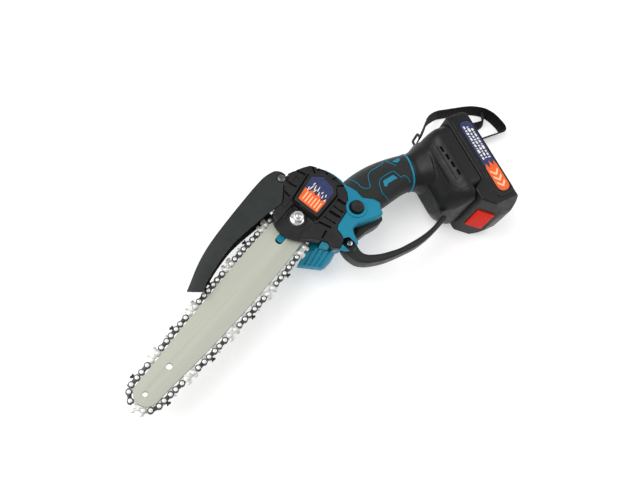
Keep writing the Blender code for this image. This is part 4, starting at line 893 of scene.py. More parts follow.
piece("nut_flanged", join("nut", [hexa, flange, bevelled]), "chrome", "saw", "bar_nut", angle=28)

piv = turned("pivot_screw", [(0.0, 13.3), (2.4, 13.25), (3.3, 13.0), (3.9, 12.5), (4.1, 12.0), (4.1, 11.35), (2.9, 11.35), (2.9, -11.8),
                             (1.7, -11.8), (1.7, -21.0), (0.0, -21.0)], PIVOT, 44)
cross_recess(piv, PIVOT, 13.3, 3.0, 1.4)
piece("pivot_screw_head", piv, "screw_painted_highlight", "saw", "guard_pivot_screw")
kn = turned("knuckle_screw", [(0.0, -0.9), (2.3, -0.9), (2.8, -1.15), (3.0, -1.6), (3.0, -2.5), (1.5, -2.5), (1.5, -16.2), (0.0, -16.2)], KNUCKLE, 40)
cross_recess(kn, KNUCKLE, -0.9, 2.4, 0.9, slots=3)
piece("knuckle_screw_head", kn, "steel", "saw", "guard_screw")
SCREWS = [("housing_screw_front", (200, -29), 0), ("housing_screw_top", (214, 20), 0), ("housing_screw_rear", (262, 8), 0), ("housing_screw_grip", (256.5, -31.5), 0),
          ("foot_screw_upper", TS(357.0, -119.6), 1), ("foot_screw_lower", TS(357.0, -56.0), 1)]
for nm, c, far in SCREWS:
    if far:
        prof = [(0.0, 5.4), (1.35, 5.4), (1.35, -40.8), (2.9, -40.8), (2.9, -42.6), (2.2, -43.6), (0.0, -43.6)]
        low = -43.6
    else:
        prof = [(0.0, -6.0), (1.35, -6.0), (1.35, -24.8), (3.0, -24.8), (3.0, -26.2), (2.3, -27.0), (0.0, -27.0)]
        low = -27.0
    sc = turned(nm + "_v", prof, c, 32)
    cross_recess(sc, c, low, 2.4, 1.1, up=False)
    piece(nm + "_head", sc, "dark_steel", "saw", nm)

# ------------------------------------------------------------------ housing
BODY = [(191, 16.5), (207, 18.5), (217, 25), (236, 26), (247, 27), (256, 21), (262, 10), (264, 1), (264, -8),
        (262.5, -14), (265, -26), (263, -34), (269.5, -44), (270.5, -51), (266, -54), (262.5, -60), (256, -57), (238, -47), (231, -45.5), (227, -50),
        (222.5, -58), (214, -60), (207, -53), (199, -36), (193, -24)]
body_out = fillet(BODY, 3.4, 5)
HANDLE = [(268.0, -30.5, 22.0, 18.6, -6.0), (279.0, -32.3, 22.0, 18.4, -12.0), (291.0, -35.5, 21.8, 18.0, -18.0),
          (303.0, -39.6, 20.9, 17.6, -24.0), (315.0, -44.6, 19.6, 17.3, -31.0), (325.5, -50.0, 18.7, 17.2, -36.0)]
SKIN = 3.4


def handle_ring(st, d, seg=56):
    x, y, a, b, h = st
    h = radians(h)
    px, py = -sin(h), cos(h)
    out = []
    for k in range(seg):
        th = 2 * pi * k / seg
        e = 0.86
        ca, sa = cos(th), sin(th)
        u = (abs(ca) ** e) * (1 if ca >= 0 else -1) * (a + d)
        v = (abs(sa) ** e) * (1 if sa >= 0 else -1) * (b + d)
        out.append(W(x + px * u, y + py * u, SPLIT + v))
    return out


def along(st, dist):
    x, y, a, b, h = st
    return (x + cos(radians(h)) * dist, y + sin(radians(h)) * dist, a, b, h)


HSTEPS = spline([along(HANDLE[0], -9)] + HANDLE, 6)
SLOT = [(224, -38.5), (241, -36), (266, -37.5), (272.5, -45), (274, -75), (218, -75), (224, -52)]
GUARD = [(209.5, -50.5), (217.5, -46.5), (224, -49), (226.5, -56), (226, -66), (231, -75), (248, -88.5), (276, -99.5),
         (297, -104), (310.5, -106.2), (308, -113.4), (292, -111), (266, -104.6), (243, -95), (224, -84), (211.5, -72), (206, -60)]
BOW_IN = [(225.4, -58.0), (223.2, -63.6), (223.3, -68.3), (226.3, -73.3), (233.6, -80.2), (242.3, -86.2), (251.5, -91.6), (263, -96.4), (275, -100.6), (288, -103.8), (300.4, -105.2), (311.5, -105.4)]
BOW_OUT = [(311.0, -110.6), (295.5, -109.9), (280.3, -107.8), (266.2, -104.2), (255.1, -99.6), (244.4, -94.6), (234, -89.2), (225.3, -83.2), (217.5, -76.4), (212.6, -69.3), (211.4, -62.8), (211.6, -56.5), (213.6, -50.0)]
guard_out = runs(BOW_IN, [BOW_IN[-1], BOW_OUT[0]], BOW_OUT, [BOW_OUT[-1], (218.6, -45.6)], [(218.6, -45.6), (224.2, -45.0)], [(224.2, -45.0), (227.2, -48.2)], [(227.2, -48.2), (226.9, -54.5)], per=5)
trig_room = slab("trig_room", SLOT, -16.2, 0.2)
guard_room = slab("guard_room", offset_poly(guard_out, 0.5), -16.6, 0.1)
boss_line = [(217.4, -46.0), (222.8, -44.4), (227.6, -47.6), (227.0, -54.2), (224.8, -58.8), (216.0, -58.6)]
boss_room = loft("boss_room", [[W(x - 0.57 * (n + 1.0), y - 0.03 * (n + 1.0), n) for x, y in fillet(boss_line, 1.4, 4)] for n in (-0.6, 20.0)])
tongue_st = [along(HANDLE[0], -9)] + HANDLE + [along(HANDLE[-1], 14)]


def body_half(name, upper):
    ob = slab(name, body_out, BODY_BOT, BODY_TOP, bevel=3.4, seg=6, angle=50)
    boolean(ob, loft(name + "_tongue", [handle_ring(s, -SKIN, 40) for s in tongue_st]), 'UNION')
    if not upper:
        bulge = turned(name + "_bulge", [(0.0, -20.0), (29.0, -20.0), (29.0, -41.6), (28.6, -43.2), (27.8, -44.5), (26.5, -45.4), (25.6, -45.5), (0.0, -45.5)], SPROCKET, 72)
        boolean(ob, bulge, 'UNION')
        boss = slab(name + "_boss", fillet([(214, 20), (236, 20), (230.5, 38), (226, 41.2), (221, 39.5)], 3, 5), -24, -12.6, bevel=1.4, seg=4)
        boolean(ob, boss, 'UNION')
    half = box(name + "_half", (420, 260, 80), (240, 0, SPLIT + (40.15 if upper else -40.15)))
    boolean(ob, half, 'INTERSECT')
    return ob


shell_r = body_half("shell_r", True)
shell_l = body_half("shell_l", False)
room = slab("cover_room", offset_poly(cover_out, 0.5), -4.6, 30)
boolean(shell_r, room)
boolean(shell_r, slab("bar_room", [(150, 40), (200, 40), (220, 30), (220, -30), (193, -32), (150, -30)], -4.6, 30))
boolean(shell_r, turned("button_hole", [(0.0, 30.0), (6.8, 30.0), (6.8, -2.0), (0.0, -2.0)], BUTTON, 48))
boolean(shell_r, turned("button_room", [(0.0, 9.4), (8.6, 9.4), (8.6, 0.4), (0.0, 0.4)], BUTTON, 40))
for ob in (shell_r, shell_l):
    boolean(ob, trig_room)
    boolean(ob, guard_room)
boolean(shell_r, boss_room)
corner_cut = slab("corner_cut", [(200, -41.5), (213.5, -44.5), (221.5, -48.5), (227.5, -56.0), (229.0, -64.0), (200, -64.0)], -60, 9.0)
for ob in (shell_r, shell_l):
    boolean(ob, corner_cut)
motor_room = turned("motor_room", [(0.0, -6.0), (22.5, -6.0), (22.5, -38.2), (24.6, -38.2), (24.6, -60.0), (0.0, -60.0)], SPROCKET, 64)
boolean(shell_l, motor_room)
boolean(shell_r, turned("bearing_room", [(0.0, 30.0), (8.4, 30.0), (8.4, -60.0), (0.0, -60.0)], SPROCKET, 40))
for nm, c, far in SCREWS[:4]:
    hole = turned(nm + "_hole", [(0.0, -5.5), (1.75, -5.5), (1.75, -24.4), (3.5, -24.4), (3.5, -40.0), (0.0, -40.0)], c, 28)
    boolean(shell_l, hole)
piece("shell_right", shell_r, "teal", "saw", "housing_right")
# cooling slots round the motor bulge
for k in range(10):
    a = radians(200 + k * 16)
    boolean(shell_l, box("vent", (8.0, 2.2, 9.0), (234 + 29.0 * cos(a), 29.0 * sin(a), -33.5), a, bevel=0.5))
piece("shell_left", shell_l, "teal", "saw", "housing_left")
ring = turned("button_ring", [(7.25, 12.6), (7.25, 13.1), (7.6, 13.4), (9.4, 13.4), (9.95, 13.15), (10.2, 12.6), (10.2, 11.6), (7.25, 11.6)], BUTTON, 64)
piece("button_ring", ring, "teal", "saw")
btn = turned("lock_button", [(0.0, 16.6), (3.6, 16.75), (4.6, 17.1), (5.2, 17.2), (5.8, 17.0), (6.15, 16.4), (6.2, 15.6), (6.2, 9.2), (7.9, 9.0), (7.9, 7.2), (0.0, 7.2)], BUTTON, 56)
piece("lock_button_cap", btn, "cover", "lock_button", "lock_off_button")

# motor cap with its air slots
cap_holes = []
for a in range(0, 360, 30):
    q = [(234 + r * cos(radians(a + da)), r * sin(radians(a + da))) for r, da in
         [(13.5, -8), (13.5, -4), (13.5, 0), (13.5, 4), (13.5, 8), (21.0, 9), (21.0, 4.5), (21.0, 0), (21.0, -4.5), (21.0, -9)]]
    cap_holes.append(fillet(q, 0.9, 3))
cap = slab("cap", circle(SPROCKET, 24.1, 72), -45.1, -42.6, holes=cap_holes, bevel=0.5, seg=3)
piece("motor_grille", cap, "black", "saw", "motor_cap")

# ------------------------------------------------------------------ chip deflector
fin_top = [(200.0, -22.5), (207.0, -34.0), (210.5, -46.3), (206.4, -47.0), (204.8, -45.6), (194.6, -23.0)]
fin_low = [(200.0, -22.5), (207.0, -34.0), (212.8, -48.4), (196.3, -47.4), (191.9, -45.6), (178.6, -25.6)]
fin_rings = [[W(*lerp2(a, b, u), n) for a, b in zip(fin_top, fin_low)] for u, n in ((0.0, 3.0), (0.5, -7.5), (1.0, -18.0), (1.0, -25.5))]
fin = loft("fin", fin_rings)
md = fin.modifiers.new("edge", 'BEVEL')
md.width = 0.9 * MM
md.segments = 3
md.limit_method = 'ANGLE'
md.angle_limit = radians(30)
boolean(fin, slab("fin_body", offset_poly(body_out, 0.4), -40, 20))
boolean(fin, slab("fin_chain", [(150, 40), (200, 40), (220, 30), (220, -30), (193, -30.4), (150, -29)], -4.6, 30))
boolean(fin, guard_room)
boolean(fin, boss_room)
for v in (0.24, 0.44, 0.64, 0.84):
    ta, la = lerp2(fin_top[5], fin_top[4], v), lerp2(fin_low[5], fin_low[4], v)
    pts = [W(*lerp2(ta, la, u), 3.0 - 21.0 * u) for u in (0.02, 0.25, 0.5, 0.75, 0.93)]
    boolean(fin, tube("fin_rib", pts, 0.95, 12))
piece("deflector_ribs", fin, "teal", "saw", "chip_deflector")

# ------------------------------------------------------------------ chain guard
cg = slab("cg_top", cg_out, 8.9, 12.0, bevel=1.0, seg=4, angle=30)
wall_up = [(204, 48.3), (186, 47.7), (170.4, 46.7), (155, 45.5), (140, 44.1), (127.5, 42.4), (115.7, 39.9), (105, 36.8), (93, 32.4), (81.8, 28.4)]
wall_low = [(91.7, 17.6), (100.3, 21.8), (113.8, 24.8), (128.1, 27.0), (144.7, 28.1), (160, 27.0), (174.8, 25.1), (188.6, 22.8), (198.9, 21.2)]
wall = slab("cg_wall", runs(wall_up, [wall_up[-1], wall_low[0]], wall_low, [wall_low[-1], wall_up[0]], per=5), -12.0, 10.5, bevel=0.9, seg=3, angle=30)
boolean(cg, wall, 'UNION')
boolean(cg, slab("cg_room", runs([(212, 36), (200, 44.6), (186, 45.2), (170.4, 44.3), (155, 43.1), (140, 41.6), (127.5, 39.9), (115.7, 37.4), (105, 34.2), (93, 29.8), (76, 23.8)], [(76, 23.8), (66, 5)], [(66, 5), (212, 5)], [(212, 5), (212, 36)], per=5), -9.8, 9.7))
tip = box("cg_tip", (40, 70, 60), (0, 0, 0))
tip_rot = Matrix.Rotation(radians(220.5), 4, 'Z') @ Matrix.Rotation(radians(17), 4, 'Y')
tip.matrix_world = Matrix.Translation(W(88.6, 24.4, 12.0)) @ tip_rot @ Matrix.Translation((20 * MM, 0, 0))
boolean(cg, tip)
boolean(cg, slab("cg_hole", circle(PIVOT, 3.3, 32), -30, 30))
# shallow shadow line that sets the ear off from the plate
line = spline([(222.7, 40.1), (223.2, 36.4), (221.6, 32.4), (218.1, 28.7), (211.6, 23.7)], 6)
boolean(cg, tube("cg_line", [W(x, y, 12.1) for x, y in line], 0.5, 8))
boolean(cg, turned("cg_dish", [(0.0, 14.0), (5.2, 14.0), (4.9, 11.2), (0.0, 11.2)], PIVOT, 48))
piece("guard_shell", cg, "guard", "guard_lever", "chain_guard")

# ------------------------------------------------------------------ knuckle guard
kg = slab("kg", guard_out, -15.5, -0.5, bevel=3.0, seg=5, angle=35)
sock = box("kg_square", (8.0, 8.0, 5.0), (*KNUCKLE, -0.6), radians(-8), bevel=1.2)
boolean(kg, sock)
boolean(kg, turned("kg_hole", [(0.0, 5.0), (3.4, 5.0), (3.4, -2.8), (1.9, -2.8), (1.9, -20.0), (0.0, -20.0)], KNUCKLE, 32))
piece("knuckle_bow", kg, "black", "saw", "knuckle_guard")

# ------------------------------------------------------------------ trigger
TRIG = [(229.5, -44.4), (240, -42.5), (262, -45.5), (268.5, -51), (268, -59), (262, -65), (246, -61.5), (230, -57), (228.6, -52)]
TRIG = [(229.6, -44.6), (240, -42.5), (262, -45.5), (267.3, -51), (266.8, -58), (263.4, -62.6), (256.3, -61.4), (245.3, -57.4), (231.6, -54.8)]
trig = slab("trig", fillet(TRIG, [2, 6, 7, 5, 3, 5, 14, 3, 3], 6), -15.2, -0.8, holes=[circle(TRIG_PIN, 1.95, 24)], bevel=2.0, seg=5)
piece("trigger_blade", trig, "cover", "trigger_lever", "trigger")

# ------------------------------------------------------------------ grip
grip_full = loft("grip_full", [handle_ring(s, 0.0) for s in HSTEPS])
grip_bvh = BVHTree.FromObject(grip_full, bpy.context.evaluated_depsgraph_get())


def grip_half(name, upper):
    ob = loft(name, [handle_ring(s, 0.0) for s in HSTEPS])
    core = loft(name + "_core", [handle_ring(s, -SKIN + 0.3, 40) for s in [along(HANDLE[0], -13)] + HANDLE + [along(HANDLE[-1], 9)]])
    boolean(ob, core)
    boolean(ob, slab(name + "_body", offset_poly(body_out, 0.35), BODY_BOT - 0.35, BODY_TOP + 0.35))
    boolean(ob, box(name + "_half", (420, 260, 80), (240, 0, SPLIT + (40.15 if upper else -40.15))), 'INTERSECT')
    boolean(ob, trig_room)
    return ob



def on_grip(x, y, top=True, lift=0.1):
    """point of the grip's skin above (x, y), pulled in where that lies past its edge"""
    best = min(HSTEPS, key=lambda s: abs((x - s[0]) * cos(radians(s[4])) + (y - s[1]) * sin(radians(s[4]))))
    for k in range(30):
        o = W(x, y, 60 if top else -80)
        hit = grip_bvh.ray_cast(o, Vector((0, 0, -1 if top else 1)))
        if hit[0] is not None and abs(hit[1].z) > 0.12:
            return hit[0] + hit[1] * lift * MM * (1 if hit[1].z * (1 if top else -1) > 0 else -1)
        x += (best[0] - x) * 0.04
        y += (best[1] - y) * 0.04
    return None


INLAYS = [
    [(271.1, -9.6), (273.4, -13.6), (272.7, -21.1), (271.2, -26.6), (273.1, -31.2), (277.3, -33.3), (282.4, -28.4), (287.6, -24.4), (293.9, -23.8), (309.0, -27.6), (313.6, -25.2)],
    [(318.2, -26.4), (315.2, -29.4), (314.9, -33.1), (316.0, -39.4)],
    [(283.9, -54.2), (282.3, -45.1), (290.6, -36.3), (307.1, -40.1), (308.6, -44.0), (309.0, -50.3), (312.6, -51.6), (314.0, -56.2), (313.5, -60.1)],
]
inlay_obs = []
grip_r, grip_l = grip_half("gr", True), grip_half("gl", False)
for top in (True, False):
    for path in INLAYS:
        pts = [on_grip(x, y, top, 0.0) for x, y in spline(path, 5)]
        pts = [p for p in pts if p is not None]
        inlay_obs.append(tube("inlay", pts, 0.42, 8))
        boolean(grip_r if top else grip_l, tube("inlay_groove", pts, 0.85, 8))
piece("grip_pad_right", grip_r, "rubber", "saw", "grip_right")
piece("grip_pad_left", grip_l, "rubber", "saw", "grip_left")
piece("grip_inlay_lines", join("inlays", inlay_obs), "line", "saw")
patch_obs = []
for q in ([(317.4, -33.6), (326.4, -36.2), (324.9, -39.0), (319.3, -38.5)],
          [(288.2, -43.6), (292.0, -39.2), (304.6, -43.0), (305.4, -48.6), (302.4, -47.2), (294.0, -44.6), (290.6, -45.4)]):
    for top in (True, False):
        sk = loft("patch_skin", [handle_ring(s, 0.35) for s in HSTEPS + [along(HANDLE[-1], 2.0)]])
        boolean(sk, slab("patch_cut", fillet(q, 0.8, 4), -2 if top else -40, 40 if top else -14), 'INTERSECT')
        patch_obs.append(sk)
piece("grip_patches", join("patches", patch_obs), "teal", "saw")

ring_st = [along(HANDLE[-1], d) for d in (0.5, 0.75, 1.15, 1.55, 1.95, 2.35, 2.6)]
ring_r = [0.15, 0.45, 0.62, 0.66, 0.62, 0.45, 0.15]
er = loft("end_ring", [handle_ring(s, d, 96) for s, d in zip(ring_st, ring_r)])
boolean(er, loft("end_core", [handle_ring(s, -SKIN + 0.3, 40) for s in (along(HANDLE[-1], -6), along(HANDLE[-1], 9))]))
piece("end_ring", er, "line", "saw", "grip_end_ring")


# ------------------------------------------------------------------ battery
N0, N1 = SPLIT - 37.5, SPLIT + 37.5
PACK = [(365.9, -124), (392, -124), (392, -18.5), (387.5, -14), (374, -14), (353.6, -31.6), (353.6, -44.8), (365.9, -52.0)]
pack_out = fillet(PACK, [3, 7, 4, 3, 4, 5, 3, 2], 7)


def ts_slab(name, pts, n0, n1, **kw):
    return slab(name, [TS(*p) for p in pts], n0, n1, **kw)


# ------------------------------------------------------------------ foot
def round_rect(t, s0, s1, half, r, half_lo=None, k=10):
    pts = []
    lo = half if half_lo is None else half_lo
    for cs, h, sg, a0 in ((s1, half, 1, 0), (s0, half, 1, 90), (s0, lo, -1, 180), (s1, lo, -1, 270)):
        q = min(r, h * 0.95)
        cc = cs - q if cs == s1 else cs + q
        for i in range(k + 1):
            a = radians(a0 + 90 * i / k)
            x, y = TS(t, cc + q * cos(a))
            pts.append(W(x, y, SPLIT + sg * (h - q) + q * sin(a)))
    return pts


FOOT = [(324.5, -106.5, -47.5, 11, 9, 15), (327.5, -110.0, -44.5, 15.5, 12, 21), (332, -113.5, -41.5, 21, 14, 28), (338.5, -116.4, -38.5, 29, 15, 34.0),
        (345.0, -118.2, -37, 34.3, 13, 36.3), (350.5, -119, -36.5, 36.5, 11, 36.6), (353.2, -119, -36.5, 36.6, 11, 36.6)]
foot_raw = loft("foot_raw", [round_rect(*f) for f in spline(FOOT, 4)])
boolean(foot_raw, loft("foot_back", [round_rect(352.0, -119, -45.8, 36.6, 9), round_rect(365.4, -119, -45.8, 36.6, 9)]), 'UNION')
neck_st = spline([(*along(HANDLE[-1], 3.0), 0.2), (*along(HANDLE[-1], 7.0), 0.9), (*along(HANDLE[-1], 11.0), 2.8), (*along(HANDLE[-1], 15.0), 5.6), (*along(HANDLE[-1], 20.0), 9.5)], 4)
boolean(foot_raw, loft("foot_neck", [handle_ring(s[:5], s[5]) for s in neck_st]), 'UNION')
remesh(foot_raw, 0.8, 7, 0.6)
foot_solid = freeze(foot_raw, "foot_solid")
# raised side panels that carry the air slots
for top in (True, False):
    pn = loft("panel_skin", [round_rect(f[0], f[1], f[2], f[3] + 0.8, f[4], f[5] + 0.8) for f in spline(FOOT, 4)])
    boolean(pn, slab("panel_cut", [TS(*p) for p in fillet([(337.0, -97), (345.5, -109.2), (353.0, -109.2), (353.0, -50), (341, -50), (336.5, -62)], 1.5, 4)], SPLIT + 10 if top else -80, 60 if top else SPLIT - 10), 'INTERSECT')
    boolean(foot_solid, pn, 'UNION')
boolean(foot_solid, ts_slab("pack_room", offset_poly(pack_out, 0.35), -90, 90))
for top in (True, False):
    sg = 1 if top else -1
    for k in range(4):
        boolean(foot_solid, box("foot_vent", (2.1, 6.4, 10), (*TS(344.9 + 0.7 * k, -94.6 + 9.4 * k), SPLIT + sg * 37), -FOOT_ANGLE, bevel=0.4))
    boolean(foot_solid, box("foot_score", (0.7, 40, 1.6), (*TS(342.3, -80.5), SPLIT + sg * 33.6), -FOOT_ANGLE))
    boolean(foot_solid, box("foot_chan", (6.0, 88, 7.0), (*TS(364.6, -88), SPLIT + sg * 26), -FOOT_ANGLE))
boolean(foot_solid, box("foot_window", (14, 40, 30), (*TS(363, -96), SPLIT), -FOOT_ANGLE))
boolean(foot_solid, guard_room)
for nm, c, far in SCREWS[4:]:
    boolean(foot_solid, turned(nm + "_hole", [(0.0, 6.0), (1.75, 6.0), (1.75, -40.4), (3.4, -40.4), (3.4, -60.0), (0.0, -60.0)], c, 28))
foot_done = freeze(foot_solid, "foot_done")
for upper, nm, node in ((True, "foot_shell_right", "foot_right"), (False, "foot_shell_left", "foot_left")):
    h = freeze(foot_done, nm)
    boolean(h, box(nm + "_half", (300, 300, 80), (*TS(345, -80), SPLIT + (40.15 if upper else -40.15))), 'INTERSECT')
    piece(nm, h, "foot", "saw", node, angle=40)

CH_A, CH_B = (353.6, -31.6), (374.0, -14.0)
chl = hypot(CH_B[0] - CH_A[0], CH_B[1] - CH_A[1])
cd = ((CH_B[0] - CH_A[0]) / chl, (CH_B[1] - CH_A[1]) / chl)
cnv = (-cd[1], cd[0])
BC = (CH_A[0] + cd[0] * 13.2, CH_A[1] + cd[1] * 13.2)


def on_slant(u, v):
    return TS(BC[0] + cd[0] * u + cnv[0] * v, BC[1] + cd[1] * u + cnv[1] * v)


def end_cut(name, sn):
    return loft(name, [[W(*TS(t, q[0]), SPLIT + q[1]) for q in sn] for t in (345.0, 400.0)])


lean = end_cut("pack_lean", [(-13.9, 17.5), (-16.8, 24.0), (-22.0, 36.0), (-24.0, 42.0), (5.0, 42.0), (5.0, 17.5)])
under = end_cut("pack_under", [(-13.9, -18.0), (5.0, -18.0), (5.0, -42.0), (-24.5, -42.0), (-20.2, -36.0), (-16.4, -28.0)])
btn_pocket = slab("btn_pocket", [on_slant(*p) for p in [(-9.8, -5.2), (9.8, -5.2), (9.8, 3.0), (-9.8, 3.0)]], SPLIT - 16.6, SPLIT + 16.6)
lid = ts_slab("lid", pack_out, N0, N1 - 0.9, bevel=4.0, seg=6)
boolean(lid, ts_slab("lid_keep", [(340, -140), (371.45, -140), (371.45, 0), (340, 0)], -80, 80), 'INTERSECT')
boolean(lid, lean)
boolean(lid, under)
for sg in (1, -1):
    boolean(lid, box("rail", (5.4, 66, 5.6), (*TS(364.4, -87), SPLIT + sg * 26), -FOOT_ANGLE), 'UNION')
boolean(lid, box("contact_slot", (8, 30, 20), (*TS(366, -98), SPLIT), -FOOT_ANGLE))
lid_rim = ts_slab("lid_rim", fillet([(369.7, -121.6), (391.2, -121.6), (391.2, -26.0), (369.7, -26.0)], 6.5, 8), N1 - 4.0, N1, bevel=0.9, seg=4)
boolean(lid_rim, ts_slab("lid_rim_keep", [(340, -140), (371.45, -140), (371.45, 0), (340, 0)], -80, 80), 'INTERSECT')
boolean(lid, lid_rim, 'UNION')
boolean(lid, btn_pocket)
piece("battery_front", lid, "foot", "battery", "battery_lid")
tub = ts_slab("tub", pack_out, N0, N1 - 0.9, bevel=4.0, seg=6)
boolean(tub, lean)
boolean(tub, under)
boolean(tub, ts_slab("tub_keep", [(371.75, -140), (400, -140), (400, 0), (371.75, 0)], -80, 80), 'INTERSECT')
frame_rim = ts_slab("frame_rim", fillet([(369.7, -121.6), (391.2, -121.6), (391.2, -26.0), (369.7, -26.0)], 6.5, 8), N1 - 4.0, N1, bevel=0.9, seg=4)
boolean(frame_rim, ts_slab("rim_keep", [(371.75, -140), (400, -140), (400, 0), (371.75, 0)], -80, 80), 'INTERSECT')
boolean(tub, frame_rim, 'UNION')
boolean(tub, ts_slab("label_room", fillet([(374.2, -114.0), (389.8, -114.0), (389.8, -30.2), (374.2, -30.2)], 6.8, 8), N1 - 0.9, N1 + 5))
boolean(tub, btn_pocket)
# shallow grip flutes on the back of the pack
for k in range(5):
    boolean(tub, ts_slab("flute", fillet([(391.3, -84 + k * 6.0), (394, -84 + k * 6.0), (394, -81 + k * 6.0), (391.3, -81 + k * 6.0)], 0.3, 2), SPLIT - 24, SPLIT + 24))
piece("battery_back", tub, "foot", "battery", "battery_tub")
ribs = []
for (a, b2, wdt) in (((368.8, -122.0), (368.8, -56.0), 0.7),):
    pass
rel = slab("release", fillet([on_slant(*p) for p in [(-9.1, -1.0), (9.1, -1.0), (9.1, 0.9), (7.2, 1.6), (-7.2, 1.6), (-9.1, 0.9)]], 0.6, 4), SPLIT - 16.3, SPLIT + 16.3, bevel=0.8, seg=4)
piece("release_key", rel, "red", "release", "release_button")

lab = ts_slab("label", fillet([(375.0, -113.1), (389.0, -113.1), (389.0, -31.0), (375.0, -31.0)], 6.4, 8), N1 - 0.55, N1 - 0.08)
zz = [(375.15, -58.0), (377.6, -63.5), (379.8, -57.0), (382.6, -65.5), (385.2, -58.5), (387.2, -64.0), (388.85, -60.0)]
end = [(388.85, -37.2), (388.3, -34.6), (386.6, -32.5), (384.4, -31.3), (382.6, -31.15), (381.4, -31.15), (379.6, -31.3), (377.4, -32.5), (375.7, -34.6), (375.15, -37.2)]
orange_part = [TS(*p) for p in zz + end]
dashes = []
seeds = [3.1, 1.6, 4.4, 2.2, 3.6, 1.4, 5.0, 2.6, 3.2, 1.8, 4.0, 2.4]
for row, (t0, s0, s1) in enumerate([(386.0, -103.0, -67.5), (382.3, -106.5, -68.5), (378.6, -108.0, -66.5)]):
    s = s0
    i = row * 5
    while s < s1 - 1.5:
        ln = min(seeds[i % 12], s1 - s)
        hh = 1.05 if (i % 3) else 1.35
        dashes.append([TS(t0 - hh, s), TS(t0 + hh * 0.75, s), TS(t0 + hh, s + ln * 0.8), TS(t0 - hh * 0.8, s + ln * 0.86)])
        s += ln + 0.7
        i += 1
chevs = []
for k in range(3):
    s = -55.5 + k * 6.6
    chevs.append([TS(*p) for p in [(377.4, s), (382.0, s + 4.6), (386.6, s), (386.6, s + 2.7), (382.0, s + 7.4), (377.4, s + 2.7)]])
badge_layers("battery_film_", [("base", "navy", [[TS(*p) for p in fillet([(375.0, -113.1), (389.0, -113.1), (389.0, -31.0), (375.0, -31.0)], 6.4, 8)]], N1 - 0.55, N1 - 0.12),
                               ("low", "orange", [orange_part], N1 - 0.12, N1 - 0.06), ("mark", "white", dashes, N1 - 0.12, N1 - 0.06),
                               ("chevron", "pale", chevs, N1 - 0.06, N1 - 0.02)], "battery", "battery_badge")

# ------------------------------------------------------------------ wrist strap
STRAP = [(371.0, -39.6, -9.0), (376.5, -38.6, -10.5), (386.0, -36.6, -15.0), (399.0, -34.0, -22.0), (415.0, -32.6, -30.0),
         (432.0, -35.5, -37.0), (444.0, -42.5, -39.0), (454.0, -50.0, -39.0), (463.0, -57.0, -39.0), (470.0, -63.5, -39.0),
         (477.0, -74.0, -39.0), (479.0, -84.0, -39.0), (478.0, -93.0, -39.0), (475.5, -101.5, -39.0), (471.5, -104.5, -39.0),
         (464.0, -101.0, -39.0), (449.0, -93.0, -39.0), (436.0, -86.0, -39.0), (425.5, -78.0, -39.0), (424.0, -70.5, -39.0),
         (431.0, -66.5, -39.0), (443.0, -70.0, -39.0), (453.0, -76.5, -39.0), (461.5, -81.0, -39.0), (468.5, -80.0, -39.0),
         (474.0, -75.0, -39.0)]


def tape(name, path, width, thick, per=5):
    pts = spline(path, per)
    prof = [(-0.5, -0.47), (-0.5, 0.47), (-0.38, 0.5), (0.38, 0.5), (0.5, 0.47), (0.5, -0.47), (0.38, -0.5), (-0.38, -0.5)]
    rings, dist = [], [0.0]
    for k, p in enumerate(pts):
        a, b = pts[max(0, k - 1)], pts[min(len(pts) - 1, k + 1)]
        d = Vector((b[0] - a[0], b[1] - a[1], b[2] - a[2])).normalized()
        side = Vector((-d.y, d.x, 0)).normalized()
        upn = d.cross(side) * -1.0
        if upn.z < 0:
            upn = -upn
        # past its root the tape leans over, one edge out
        lean_by = radians(19.0) * min(1.0, max(0.0, (k - 8) / 14.0))
        flat = (side * sin(lean_by) + upn * cos(lean_by)).normalized()
        drop = (0.5 * width * (1.0 - cos(lean_by)) - 0.5 * thick * sin(lean_by)) * upn.z - 0.15
        side, upn = (side * cos(lean_by) - upn * sin(lean_by)).normalized(), flat
        wob = 0.25 * sin(k * 0.37)
        rings.append([W(*(Vector((p[0], p[1], p[2] - drop)) + side * (u * thick + v * wob) + upn * (v * width))) for u, v in prof])
        if k:
            dist.append(dist[-1] + hypot(p[0] - pts[k - 1][0], p[1] - pts[k - 1][1], p[2] - pts[k - 1][2]))
    ob = loft(name, rings)
    me = ob.data
    uv = me.uv_layers.new(name="tape")
    m = len(prof)
    per_v = [0, 12.5, 13, 22, 23, 35, 36, 46]
    for poly in me.polygons:
        for li in poly.loop_indices:
            vi = me.loops[li].vertex_index
            uv.data[li].uv = (dist[vi // m], per_v[vi % m] if True else 0.0)
    return ob, dist[-1]


strap, strap_len = tape("strap", STRAP, 12.4, 1.5)
strap_piece = piece("strap_tape", strap, "webbing", "saw", "wrist_strap", angle=50)
lug_in, lug_out = TS(347.5, -124.5), TS(347.5, -129.2)
lp = [W(*TS(347.5, -124.5), SPLIT - 8)] + [W(*TS(347.5, s), SPLIT + v) for s, v in
     spline([(-127.0, -8.0), (-128.7, -7.4), (-129.2, -5.6), (-129.2, 0.0), (-129.2, 5.6), (-128.7, 7.4), (-127.0, 8.0)], 4)] + [W(*TS(347.5, -124.5), SPLIT + 8)]
piece("strap_eye", tube("lug", lp, 1.3, 16), "black", "saw", "strap_lug")

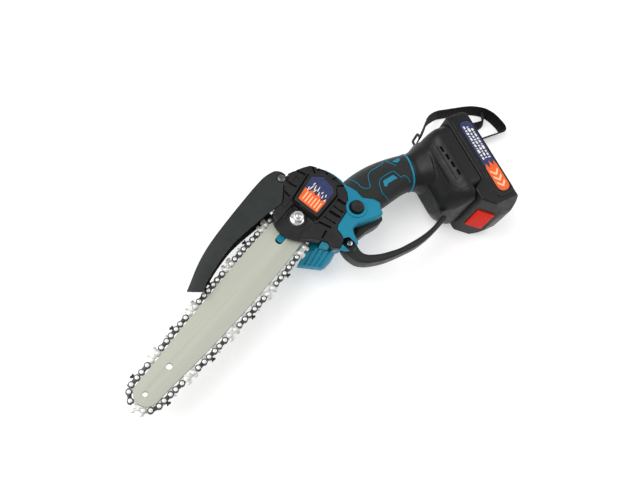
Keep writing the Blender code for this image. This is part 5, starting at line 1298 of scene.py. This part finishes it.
# ------------------------------------------------------------------ inner pieces keep their shape and get a finish
INNER = {
    "drive_sprocket": "dark_steel", "sprocket_retainer": "steel", "motor_shaft": "steel", "motor_rotor": "dark_steel", "motor_stator": "copper",
    "motor_can": "steel", "cooling_fan": "black", "front_bearing": "steel", "rear_bearing": "steel", "trigger_pin": "dark", "trigger_spring": "dark",
    "guard_spring": "steel", "button_spring": "steel", "switch_module": "dark", "lead_red": "wire_red", "lead_black": "wire_black",
    "terminal_block": "dark", "control_board": "circuit", "release_spring": "steel", "battery_board": "circuit",
    "battery_cell_1": "cell", "battery_cell_2": "cell", "battery_cell_3": "cell", "battery_cell_4": "cell", "battery_cell_5": "cell"}
for nm, mt in INNER.items():
    ob = frame["nodes"][nm]
    for sl in ob.material_slots:
        sl.material = M[mt]
    if not ob.material_slots:
        ob.data.materials.append(M[mt])

# ------------------------------------------------------------------ floor and light
bpy.ops.mesh.primitive_plane_add(size=8.0, location=(0, 0, 0))
floor = bpy.context.object
floor.name = "floor"
fm = bpy.data.materials.new("floor_white")
fm.use_nodes = True
fnt = fm.node_tree
fb = fnt.nodes["Principled BSDF"]
fb.inputs["Roughness"].default_value = 0.9
fb.inputs["Specular IOR Level"].default_value = 0.1
fn = fnt.nodes.new("ShaderNodeTexNoise")
fn.inputs["Scale"].default_value = 3.0
fr = fnt.nodes.new("ShaderNodeValToRGB")
fr.color_ramp.elements[0].color = (0.78, 0.78, 0.78, 1)
fr.color_ramp.elements[1].color = (0.80, 0.80, 0.80, 1)
fnt.links.new(fn.outputs["Fac"], fr.inputs["Fac"])
fnt.links.new(fr.outputs["Color"], fb.inputs["Base Color"])
fnt.links.new(fr.outputs["Color"], fb.inputs["Emission Color"])
fb.inputs["Emission Strength"].default_value = 0.50
floor.data.materials.append(fm)

world = bpy.data.worlds.new("studio")
scene.world = world
world.use_nodes = True
bg = world.node_tree.nodes["Background"]
bg.inputs["Color"].default_value = (1.0, 1.0, 1.0, 1.0)
bg.inputs["Strength"].default_value = 0.50


def softbox(name, loc, target, size, power):
    ld = bpy.data.lights.new(name, 'AREA')
    ld.shape = 'RECTANGLE'
    ld.size, ld.size_y = size
    ld.energy = power
    lo = bpy.data.objects.new(name, ld)
    scene.collection.objects.link(lo)
    lo.location = loc
    lo.rotation_euler = (Vector(target) - Vector(loc)).to_track_quat('-Z', 'Y').to_euler()
    return lo


softbox("key_softbox", (-0.55, 0.85, 1.55), (0.0, 0.0, 0.0), (1.3, 1.3), 21.0)
softbox("fill_softbox", (0.9, -0.7, 1.3), (0.05, 0.0, 0.0), (1.2, 1.2), 6.0)

for ob in list(TEMP.objects):
    bpy.data.objects.remove(ob, do_unlink=True)
bpy.data.collections.remove(TEMP)
